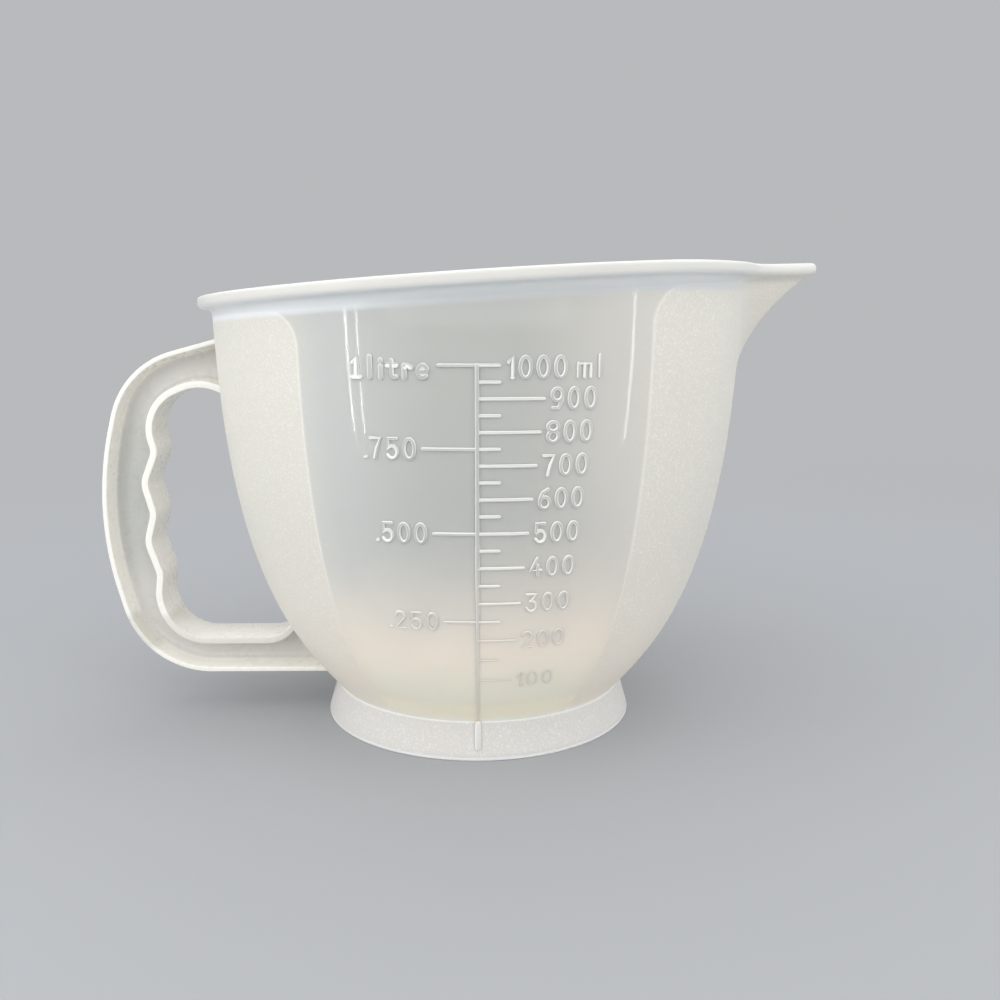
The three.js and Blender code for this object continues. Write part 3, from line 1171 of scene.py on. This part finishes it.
@dataclass
class Handle:
    """The loop handle: an outer flange and a finger grip with a thin web between them."""

    reach: float = 35.6
    flange: float = 1.9
    depth: float = 14.0
    web: float = 1.6
    outer_edge: float = 1.3
    grip_edge: float = 1.8
    fillet: float = 2.0
    edge: float = 0.22
    inset: float = 0.02
    foot: float = 11.35
    top: float = 106.1
    overlap: float = 0.1
    search_step: float = 0.1
    arc_step: float = 0.5
    edge_steps: int = 4
    fillet_steps: int = 6
    room_steps: tuple[int, int] = (60, 240)
    crisp: float = 50.0
    nodes: tuple[str, ...] = ("handle_outer_flange", "handle_web", "handle_finger_grip")
    outer: tuple[Corner, ...] = (
        Corner(-0.265, 1),
        Corner(0.712, 0.898, 0.674),
        Corner(1, 0.482, 2.528),
        Corner(0.667, 0, 0.685),
        Corner(-1.4, 0),
    )
    grip: tuple[Corner, ...] = (
        Corner(-0.265, 0.782),
        Corner(0.145, 0.845, 0.331),
        Corner(0.579, 0.777, 0.303),
        Corner(0.469, 0.653, 0.16),
        Corner(0.567, 0.562, 0.16),
        Corner(0.504, 0.473, 0.16),
        Corner(0.562, 0.391, 0.16),
        Corner(0.48, 0.296, 0.16),
        Corner(0.504, 0.224, 0.309),
        Corner(0.407, 0.1045, 0.323),
        Corner(-0.383, 0.1045, 0.197),
        Corner(-0.833, 0.273),
    )
    pairs: tuple[tuple[Corner, Corner, int], ...] = (
        (Corner(0.69, 0.9), Corner(0.5, 0.79), 34),
        (Corner(0.93, 0.482), Corner(0.504, 0.473), 44),
        (Corner(0.6, 0.03), Corner(0.38, 0.12), 46),
        (Corner(-0.383, 0), Corner(-0.383, 0.1045), 26),
        (Corner(-1.4, 0), Corner(-0.833, 0.273), 16),
    )

    def place(self, corner: Corner) -> Vector:
        """A corner's place in the middle plane, as X and Z."""
        x = -(FORM.mouth_radius + corner.out * self.reach)
        return Vector((x, lerp(self.foot, self.top, corner.up)))

    def rounded(self, corners: tuple[Corner, ...]) -> list[Vector]:
        """A line through corners, each rounded to its radius or to what its sides have room for.

        Args:
            corners: The line's ends and the corners between them.

        Returns:
            Points along the line.
        """
        places = [self.place(corner) for corner in corners]
        backs = [a - b for a, b in zip(places, places[1:-1])]
        aheads = [a - b for a, b in zip(places[2:], places[1:-1])]
        halves = [back.angle(ahead) / 2 for back, ahead in zip(backs, aheads)]
        inner = corners[1:-1]
        wanted = [0.0, *(c.radius * self.reach / math.tan(h) for c, h in zip(inner, halves)), 0.0]
        points = [places[0]]
        for i, (back, ahead, half) in enumerate(zip(backs, aheads, halves)):
            room = min(
                1.0,
                ahead.length / (wanted[i + 1] + wanted[i + 2]),
                back.length / (wanted[i] + wanted[i + 1]),
            )
            trim = wanted[i + 1] * room
            back = back.normalized()
            ahead = ahead.normalized()
            start = places[i + 1] + back * trim
            end = places[i + 1] + ahead * trim
            centre = places[i + 1] + (back + ahead).normalized() * trim / math.cos(half)
            turn = start - centre
            sweep = turn.angle_signed(end - centre)
            steps = max(3, int(abs(sweep) * turn.length / self.arc_step))
            for k in range(steps + 1):
                angle = -sweep * k / steps
                cos, sin = math.cos(angle), math.sin(angle)
                arm = Vector((turn.x * cos - turn.y * sin, turn.x * sin + turn.y * cos))
                points.append(centre + arm)
        points.append(places[-1])
        return points

    def stations(self, line: list[Vector], stops: list[tuple[Corner, int]]) -> list[Vector]:
        """Points along a line, evenly spread between the places nearest to some stops.

        Args:
            line: The line's points.
            stops: Each stop and how many steps lead to it.

        Returns:
            The spread points.
        """
        path = np.array([tuple(point) for point in line])
        walked = np.concatenate(([0.0], np.cumsum(np.linalg.norm(np.diff(path, axis=0), axis=1))))
        fine = np.arange(0.0, walked[-1], self.search_step)
        spread = np.column_stack([np.interp(fine, walked, path[:, i]) for i in (0, 1)])
        reached = 0.0
        distances = []
        for corner, steps in stops:
            stop = fine[np.argmin(np.linalg.norm(spread - np.array(self.place(corner)), axis=1))]
            distances.extend(np.linspace(reached, stop, steps, endpoint=False))
            reached = stop
        distances.append(walked[-1])
        return [Vector([np.interp(d, walked, path[:, i]) for i in (0, 1)]) for d in distances]

    @staticmethod
    def normals(points: list[Vector], side: float) -> list[Vector]:
        """The direction sideways from a line at each of its points.

        Args:
            points: The line's points.
            side: 1 for its left side, -1 for its right side.

        Returns:
            The directions.
        """
        found = []
        for i in range(len(points)):
            along = (points[min(i + 1, len(points) - 1)] - points[max(i - 1, 0)]).normalized()
            found.append(Vector((-along.y, along.x)) * side)
        return found

    def half_section(self, thickness: float) -> list[Pair]:
        """One flange's half section, from the middle out, thicker towards the web.

        Args:
            thickness: The flange's thickness at its near edge.

        Returns:
            The distance from its face and the depth of each point.
        """
        half = self.depth / 2
        edge = self.edge
        outer = arc_points((self.inset + edge, half - edge), (edge, edge), 180, 90, self.edge_steps)
        inner = arc_points((thickness - edge, half - edge), (edge, edge), 90, 0, self.edge_steps)
        centre = (self.flange + self.fillet, self.web / 2 + self.fillet)
        fillet = arc_points(centre, (self.fillet, self.fillet), 180, 270, self.fillet_steps)
        return [(self.inset, 0.0), *outer, *inner, *fillet]

    def rings(self) -> list[list[Vector]]:
        """The handle's section at each station.

        Returns:
            A ring of places in the row frame for each.
        """
        outer = self.stations(self.rounded(self.outer), [(pair[0], pair[2]) for pair in self.pairs])
        grip = self.stations(self.rounded(self.grip), [(pair[1], pair[2]) for pair in self.pairs])
        flange = self.half_section(self.outer_edge)
        fingers = self.half_section(self.grip_edge)
        rings = []
        for o, g, on, gn in zip(outer, grip, self.normals(outer, 1.0), self.normals(grip, -1.0)):
            ring = []
            for start, normal, steps, side in (
                (o, on, flange, -1.0),
                (g, gn, fingers[::-1], -1.0),
                (g, gn, fingers[1:], 1.0),
                (o, on, flange[:0:-1], 1.0),
            ):
                for distance, depth in steps:
                    at = start + normal * distance
                    ring.append(in_row((at.x, side * depth, at.y)))
            rings.append(ring)
        return rings

    def cutter(self) -> bpy.types.Object:
        """A solid that fills the bowl up to just inside its outer wall.

        Returns:
            The solid.
        """
        steps, segments = self.room_steps
        line = [(r - self.overlap, z) for r, z in FORM.wall_line(False, steps)]
        solid = turned("bowl_room", [(0.0, line[0][1]), *line, (0.0, line[-1][1])], segments)
        move_vertices(solid, vertex_places(solid))
        return solid

    def build(self, finish: bpy.types.Material) -> None:
        """Models the handle, cuts it back to the bowl and dresses it.

        Args:
            finish: Its material.
        """
        tube = RingTube("handle")
        tube.draw(self.rings())
        handle = tube.finish()
        room = self.cutter()
        cut = handle.modifiers.new("cut_back", "BOOLEAN")
        cut.operation = "DIFFERENCE"
        cut.solver = "MANIFOLD"
        cut.object = room
        select_only(handle)
        bpy.ops.object.modifier_apply(modifier=cut.name)
        bpy.data.objects.remove(room, do_unlink=True)
        smooth(handle, self.crisp)
        dress(handle, finish, "clear_plastic", *self.nodes)


@dataclass(frozen=True)
class Ridge:
    """The section of a raised line on the wall: steep sides and a nearly flat top."""

    half_width: float = 0.4
    height: float = 0.42
    buried: float = 0.08
    top_share: float = 0.72

    # Shares of the half width and height at a side's middle, and of the top and height at the crown
    side: Pair = (0.95, 0.5)
    crown: Pair = (0.6, 1.03)

    def offsets(self) -> list[Pair]:
        """The section's points from its left foot over its crown to its right foot.

        Returns:
            The distance to the side and the height off the wall of each.
        """
        top = self.half_width * self.top_share
        right = [
            (self.half_width, -self.buried),
            (self.half_width * self.side[0], self.height * self.side[1]),
            (top, self.height),
            (top * self.crown[0], self.height * self.crown[1]),
        ]
        return [(-across, up) for across, up in right] + right[::-1]


@dataclass
class WallRelief:
    """Raised lines that follow the front of the bowl, joined into one piece."""

    name: str
    full_heights: Pair = (22.0, 64.0)
    least_height: float = 0.2
    least_width: float = 0.4
    end_angles: tuple[int, ...] = (35, 65, 86)
    edge_facing: Pair = (0.6, 0.99)
    crisp: float = 30.0
    lines: list[bpy.types.Object] = field(default_factory=list)

    def fullness(self, height: float) -> float:
        """How much of its full height a ridge has: little low on the wall, all of it on the foot."""
        on_wall = lerp(self.least_height, 1.0, smooth_share(height, *self.full_heights))
        return 1.0 if height < FORM.crease_height else on_wall

    def ring(self, at: Vector, along: Vector, ridge: Ridge, share: float) -> list[Vector]:
        """The ridge's section at a point of its path.

        Args:
            at: The point, as distance across the front and height.
            along: The path's direction there.
            ridge: The section.
            share: How much of its full size it has there.

        Returns:
            The places of its points in the row frame.
        """
        full = self.fullness(at.y)
        side = Vector((along.y, -along.x)) * share * lerp(self.least_width, 1.0, full)
        places = []
        for offset, lift in ridge.offsets():
            spot = at + side * offset
            raised = max(lift, 0.0) * full * share**0.5 + min(lift, 0.0)
            places.append(FORM.on_front(spot.x, spot.y, raised))
        return places

    def line(self, path: list[Pair], ridge: Ridge, closed: bool = False) -> None:
        """Raises a line along a path, with rounded ends.

        Args:
            path: Its points, as distance across the front and height.
            ridge: Its section.
            closed: Whether the path ends where it begins.
        """
        points = [Vector(point) for point in path]
        if closed:
            points = points[:-1]
        count = len(points)
        rings = []
        for i, point in enumerate(points):
            before = points[(i - 1) % count] if closed else points[max(i - 1, 0)]
            after = points[(i + 1) % count] if closed else points[min(i + 1, count - 1)]
            rings.append(self.ring(point, (after - before).normalized(), ridge, 1.0))
        if not closed:
            first = (points[1] - points[0]).normalized()
            last = (points[-1] - points[-2]).normalized()
            for angle in self.end_angles:
                reach = ridge.half_width * math.sin(math.radians(angle))
                share = math.cos(math.radians(angle))
                rings.insert(0, self.ring(points[0] - first * reach, first, ridge, share))
                rings.append(self.ring(points[-1] + last * reach, last, ridge, share))
        tube = RingTube(self.name)
        tube.draw(rings, closed)
        self.lines.append(tube.finish())

    def finish(self, finish: bpy.types.Material, *nodes: str) -> None:
        """Ends the piece and dresses it.

        Args:
            finish: Its material.
            nodes: The CAD nodes that it stands for.
        """
        piece = self.lines[0]
        select_only(*self.lines)
        bpy.ops.object.join()
        self.mark_edges(piece)
        smooth(piece, self.crisp)
        dress(piece, finish, "raised_scale", *nodes)

    def mark_edges(self, piece: bpy.types.Object) -> None:
        """Stores how far each vertex looks away from the wall: 0 on flat tops, 1 on steep sides.

        Args:
            piece: The joined piece.
        """
        count = len(piece.data.vertices)
        normals = np.empty(count * 3, dtype=np.float32)
        piece.data.vertex_normals.foreach_get("vector", normals)
        shares = np.empty(count, dtype=np.float32)
        for i, (place, normal) in enumerate(zip(vertex_places(piece) / MM, normals.reshape(-1, 3))):
            x = place[0] - AXIS_X / MM
            radius = math.hypot(x, place[1])
            slope = FORM.wall_slope(float(place[2]))
            off_wall = Vector((x / radius, place[1] / radius, -slope)).normalized()
            shares[i] = 1 - smooth_share(float(off_wall.dot(Vector(normal))), *self.edge_facing)
        # The stored share places the scale's painted edge highlights
        edge = piece.data.attributes.new("edge", "FLOAT", "POINT")
        edge.data.foreach_set("value", shares)


@dataclass(frozen=True)
class Mark:
    """One bar of the scale, read from its CAD node: its ends across the front and its height."""

    left: float
    right: float
    height: float

    @staticmethod
    def of(node: str) -> "Mark":
        """Reads a bar's place.

        Args:
            node: The bar's node.

        Returns:
            The bar.
        """
        low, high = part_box(node)
        height = (low[2] + high[2]) / 2 / MM
        radius = FORM.wall_radius(height)
        ends = [radius * math.asin((x - AXIS_X) / MM / radius) for x in (low[0], high[0])]
        return Mark(ends[0], ends[1], height)


@dataclass
class VolumeScale:
    """The raised spine with its bars, and the rib on the foot below it."""

    middle: float = -0.25
    bar: Ridge = Ridge(0.38, 0.42, top_share=0.35)
    spine: Ridge = Ridge(0.55, 0.42)
    upper_spine: Ridge = Ridge(0.5, 0.46)
    junction: float = 59.6
    spine_start: float = 0.6
    spine_overlap: float = 2.4
    spine_steps: int = 30
    rib: Ridge = Ridge(0.8, 0.45)
    bar_steps: int = 10
    marks: tuple[int, ...] = tuple(range(100, 1001, 50))
    litre_marks: tuple[int, ...] = (250, 500, 750, 1000)

    def level(self, end: float, height: float) -> list[Pair]:
        """A level path on the wall from the scale's middle line to an end."""
        return [(float(across), height) for across in np.linspace(self.middle, end, self.bar_steps)]

    def build(self, finish: bpy.types.Material) -> None:
        """Models and dresses the spine, the bars and the rib.

        Args:
            finish: Their material.
        """
        spine = WallRelief("scale_spine_relief")
        for start, end, ridge in (
            (FORM.crease_height + self.spine_start, self.junction, self.spine),
            (self.junction - self.spine_overlap, Mark.of("mark_1000").height, self.upper_spine),
        ):
            heights = np.linspace(start, end, self.spine_steps)
            spine.line([(self.middle, float(height)) for height in heights], ridge)
        spine.finish(finish, "scale_spine")
        bars = WallRelief("scale_bars")
        right_nodes = [f"mark_{mark}" for mark in self.marks]
        left_nodes = [f"litre_mark_{mark}" for mark in self.litre_marks]
        for mark in map(Mark.of, right_nodes):
            bars.line(self.level(mark.right - self.bar.half_width, mark.height), self.bar)
        for mark in map(Mark.of, left_nodes):
            bars.line(self.level(mark.left + self.bar.half_width, mark.height), self.bar)
        bars.finish(finish, *right_nodes, *left_nodes)
        rib = WallRelief("foot_rib_relief")
        low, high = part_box("foot_rib")
        foot = low[2] / MM + self.rib.half_width
        rib.line([(self.middle, foot), (self.middle, high[2] / MM)], self.rib)
        rib.finish(finish, "foot_rib")


Stroke = list[Pair]


@dataclass(frozen=True)
class Alphabet:
    """Single-line figures and letters, drawn by the middle of their strokes, in millimetres."""

    wide: float = 2.25
    tall: float = 4.25
    low: float = 2.8
    one_foot: float = 0.0

    def oval(self, middle: float, half_height: float, start: float = 90, end: float = 450) -> Stroke:
        """An upright oval as wide as a figure, or the part of it between two angles in degrees."""
        steps = max(6, int(abs(end - start) / 15))
        return arc_points((self.wide / 2, middle), (self.wide / 2, half_height), start, end, steps)

    def strokes(self, sign: str) -> tuple[float, list[Stroke]]:
        """A sign's width and its strokes, with its foot at height 0 and its left side at 0.

        Args:
            sign: One character.

        Returns:
            The width between the middles of its outer strokes, and the strokes.
        """
        wide, tall, low = self.wide, self.tall, self.low
        drawn: dict[str, tuple[float, list[Stroke]]] = {
            "0": (wide, [self.oval(tall / 2, tall / 2)]),
            "1": (0.9, [
                [(0.0, tall * 0.74), (0.9, tall), (0.9, tall * 0.5), (0.9, 0.0)],
                [(0.8 - self.one_foot, 0.0), (1.0 + self.one_foot, 0.0)],
            ]),
            "2": (wide, [[*self.oval(tall - 1.15, 1.15, 170, -20), (0.0, 0.0), (wide, 0.0)]]),
            "3": (wide, [
                [(0.1, tall), (wide - 0.1, tall), (wide * 0.45, tall * 0.6)],
                self.oval(tall * 0.3, tall * 0.3, 100, -155),
            ]),
            "4": (wide, [
                [(wide * 0.62, tall), (0.0, tall * 0.32), (wide, tall * 0.32)],
                [(wide * 0.68, tall * 0.62), (wide * 0.68, 0.0)],
            ]),
            "5": (wide, [
                [(wide * 0.92, tall), (wide * 0.12, tall), (wide * 0.08, tall * 0.56)],
                self.oval(tall * 0.31, tall * 0.31, 140, -150),
            ]),
            "6": (wide, [
                [(wide * 0.8, tall), (wide * 0.3, tall * 0.82), (0.05, tall * 0.5), (0.0, tall * 0.3)],
                self.oval(tall * 0.3, tall * 0.3),
            ]),
            "7": (wide, [[(0.0, tall), (wide, tall), (wide * 0.62, tall * 0.5), (wide * 0.4, 0.0)]]),
            "8": (wide, [self.oval(tall * 0.27, tall * 0.27), self.oval(tall * 0.77, tall * 0.23)]),
            "9": (wide, [
                self.oval(tall * 0.7, tall * 0.3),
                [(wide, tall * 0.7), (wide * 0.95, tall * 0.4), (wide * 0.6, 0.1), (wide * 0.1, 0.15)],
            ]),
            ".": (0.0, [[(0.25, 0.1), (0.45, 0.1)]]),
            "m": (2.9, [
                [(0.0, 0.0), (0.0, low)],
                [(0.0, low), (1.45, low - 0.05), (1.45, 0.0)],
                [(1.45, low - 0.05), (2.9, low), (2.9, 0.0)],
            ]),
            "l": (0.0, [[(0.0, 0.0), (0.0, tall * 0.5), (0.0, tall + 0.15)]]),
            "i": (0.0, [[(0.0, 0.0), (0.0, low - 0.2)], [(0.0, tall - 0.75), (0.0, tall - 0.6)]]),
            "t": (1.8, [
                [(0.8, tall - 0.8), (0.8, 0.6), (1.2, 0.0), (1.7, 0.1)],
                [(0.0, low), (1.8, low)],
            ]),
            "r": (1.3, [[(0.0, 0.0), (0.0, low)], [(0.0, low * 0.75), (0.6, low), (1.3, low - 0.4)]]),
            "e": (wide, [[
                (0.1, low * 0.5),
                *arc_points((wide / 2, low / 2), (wide / 2, low / 2), 0, 310, 16),
            ]]),
        }
        return drawn[sign]


@dataclass(frozen=True)
class Label:
    """A number or word on the wall: its signs, and where its left side and its foot are."""

    text: str
    left: float
    foot: float


@dataclass
class Lettering:
    """The numbers and units beside the scale, raised like the bars."""

    ridge: Ridge = Ridge(0.42, 0.4, top_share=0.5)
    bold: Ridge = Ridge(0.62, 0.42, top_share=0.7)
    figures: Alphabet = Alphabet()
    letters: Alphabet = Alphabet(wide=1.8, tall=4.2, low=2.45, one_foot=0.7)
    gap: float = 1.55
    bar_gap: float = 1.32
    litre_number_width: float = 12.8
    below_bar: float = 2.15
    top_foot: float = 96.45
    numbered: tuple[int, ...] = tuple(range(100, 1000, 100))
    litre_numbered: tuple[int, ...] = (250, 500, 750)
    same_place: float = 1e-6
    top_labels: tuple[tuple[str, float], ...] = (("1000", 6.3), ("m", 21.45), ("l", 26.5))
    litre: tuple[tuple[str, float], ...] = (
        ("1", -27.2), ("l", -23.2), ("i", -20.7), ("t", -19.1), ("r", -15.5), ("e", -12.45),
    )

    def numbers(self) -> list[Label]:
        """The labels in plain figures and letters.

        Returns:
            Those at the scale's top, then each of the others beside its bar.
        """
        found = [Label(text, left, self.top_foot) for text, left in self.top_labels]
        for mark in self.numbered:
            bar = Mark.of(f"mark_{mark}")
            found.append(Label(str(mark), bar.right + self.bar_gap, bar.height - self.below_bar))
        for mark in self.litre_numbered:
            bar = Mark.of(f"litre_mark_{mark}")
            left = bar.left - self.litre_number_width
            found.append(Label(f".{mark}", left, bar.height - self.below_bar))
        return found

    def write(self, relief: WallRelief, label: Label, alphabet: Alphabet, ridge: Ridge) -> None:
        """Raises one label.

        Args:
            relief: The piece that it becomes a part of.
            label: Its signs and place.
            alphabet: The shapes of its signs.
            ridge: The section of its strokes.
        """
        at = label.left
        for sign in label.text:
            width, strokes = alphabet.strokes(sign)
            for stroke in strokes:
                path = [(at + x, label.foot + z) for x, z in stroke]
                closed = math.dist(stroke[0], stroke[-1]) < self.same_place
                relief.line(path, ridge, closed)
            at += width + self.gap

    def build(self, finish: bpy.types.Material) -> None:
        """Models and dresses all labels.

        Args:
            finish: Their material.
        """
        relief = WallRelief("scale_numbers")
        for label in self.numbers():
            self.write(relief, label, self.figures, self.ridge)
        for letter, left in self.litre:
            self.write(relief, Label(letter, left, self.top_foot), self.letters, self.bold)
        relief.finish(finish)


@dataclass(frozen=True)
class Lamp:
    """A soft panel lamp that looks at the bowl."""

    name: str
    azimuth: float
    distance: float
    height: float
    size: Pair
    power: float
    aim_height: float = 0.07

    def build(self) -> None:
        """Adds the lamp. Its azimuth is in degrees from the front, to the right."""
        turn = math.radians(self.azimuth)
        place = Vector((self.distance * math.sin(turn), -self.distance * math.cos(turn), self.height))
        bpy.ops.object.light_add(type="AREA", location=place)
        lamp = bpy.context.object
        lamp.name = self.name
        lamp.data.shape = "RECTANGLE"
        lamp.data.size, lamp.data.size_y = self.size
        lamp.data.energy = self.power
        aim = Vector((0.0, 0.0, self.aim_height)) - place
        lamp.rotation_euler = aim.to_track_quat("-Z", "Y").to_euler()


@dataclass
class Studio:
    """The pale floor, the soft lamps and the camera at the photograph's angle."""

    floor_size: float = 6.0
    backdrop_height: float = 3.0
    floor_colour: Triple = (0.40, 0.408, 0.42)
    floor_glow: float = 1.2
    clear_radius: float = 0.22
    even_radius: float = 0.8
    sky: Triple = (0.95, 0.97, 1.0)
    sky_strength: float = 0.86
    lamps: tuple[Lamp, ...] = (
        Lamp("lamp_left_strip", -47.4, 0.3, 0.15, (0.003, 0.3), 0.05),
        Lamp("lamp_left_second_strip", -43.0, 0.3, 0.15, (0.0025, 0.3), 0.035),
        Lamp("lamp_right_strip", 59.0, 0.3, 0.15, (0.006, 0.3), 0.035),
        Lamp("lamp_front", 0, 0.9, 0.5, (1.6, 1.0), 4.3),
        Lamp("lamp_top", 0, 0.1, 1.1, (1.2, 1.2), 3.0),
        Lamp("lamp_behind", 180, 0.9, 0.6, (1.4, 0.6), 2.4),
        Lamp("lamp_left", -75, 1.0, 0.5, (0.7, 0.7), 1.8),
        Lamp("lamp_right", 80, 1.0, 0.5, (0.7, 0.7), 1.3),
    )
    eye: Triple = (0.0, -281.316, 107.707)
    down: float = 9.88
    aside: float = 1.26
    roll: float = 0.07
    lens: float = 36.68
    sensor: float = 36.0
    shift: float = -0.0005
    near: float = 0.01

    def floor(self) -> None:
        """Models a floor whose back edge is drawn up into a backdrop."""
        select_only()
        bpy.ops.mesh.primitive_plane_add(size=self.floor_size)
        floor = bare_object("floor")
        bpy.ops.object.mode_set(mode="EDIT")
        bpy.ops.mesh.select_all(action="DESELECT")
        mesh = bmesh.from_edit_mesh(floor.data)
        for edge in mesh.edges:
            edge.select = all(vertex.co.y > 0 for vertex in edge.verts)
        bpy.ops.mesh.extrude_edges_move(TRANSFORM_OT_translate={"value": (0, 0, self.backdrop_height)})
        bpy.ops.object.mode_set(mode="OBJECT")
        floor.data.materials.append(self.paper())

    def paper(self) -> bpy.types.Material:
        """The floor's pale paper, which the camera and reflections see as one even tone far away.

        Returns:
            The finished material.
        """
        shading = Shading("floor_paper")
        x, y, z = shading.place()
        away = (x**2.0 + y**2.0 + z**2.0) ** 0.5 * MM
        path = shading.node("ShaderNodeLightPath").outputs
        seen = Term(shading, path["Is Camera Ray"]) + Term(shading, path["Is Glossy Ray"])
        seen = (seen + Term(shading, path["Is Transmission Ray"])).rise(0.0, 1.0)
        even = away.rise(self.clear_radius, self.even_radius) * seen
        colour = (*self.floor_colour, 1.0)
        matt = shading.node("ShaderNodeBsdfDiffuse", {"Color": colour})
        glow = shading.node("ShaderNodeEmission", {"Color": colour, "Strength": self.floor_glow})
        inputs = {0: even, 1: matt.outputs[0], 2: glow.outputs[0]}
        return shading.finish(shading.node("ShaderNodeMixShader", inputs))

    def world(self) -> None:
        """Lights the room evenly."""
        world = bpy.data.worlds.new("room")
        world.use_nodes = True
        background = world.node_tree.nodes["Background"]
        background.inputs["Color"].default_value = (*self.sky, 1.0)
        background.inputs["Strength"].default_value = self.sky_strength
        bpy.context.scene.world = world

    def camera(self) -> None:
        """Places the camera where the photograph was taken from."""
        bpy.ops.object.camera_add()
        camera = bpy.context.object
        turn = (
            Matrix.Rotation(math.radians(-self.aside), 4, "Z")
            @ Matrix.Rotation(math.radians(90 - self.down), 4, "X")
            @ Matrix.Rotation(math.radians(self.roll), 4, "Z")
        )
        camera.matrix_world = Matrix.Translation(in_row(self.eye)) @ turn
        camera.data.lens = self.lens
        camera.data.sensor_width = self.sensor
        camera.data.shift_x = self.shift
        camera.data.clip_start = self.near
        bpy.context.scene.camera = camera

    def build(self) -> None:
        """Sets up the floor, the world, the lamps and the camera."""
        self.floor()
        self.world()
        for lamp in self.lamps:
            lamp.build()
        self.camera()
        bpy.context.scene.view_settings.view_transform = "Standard"


def main() -> None:
    """Builds the bowl's pieces in order, then the studio."""
    logging.basicConfig(level=logging.INFO, format="%(name)s %(message)s")
    BowlBody().build(Polypropylene("bowl_plastic", Surface.ZONED).material())
    Handle().build(Polypropylene("handle_plastic", Surface.SATIN, depth=0.0).material())
    relief = Polypropylene("relief_plastic", Surface.RAISED, depth=0.0).material()
    VolumeScale().build(relief)
    Lettering().build(relief)
    Studio().build()


if __name__ == "__main__":
    main()
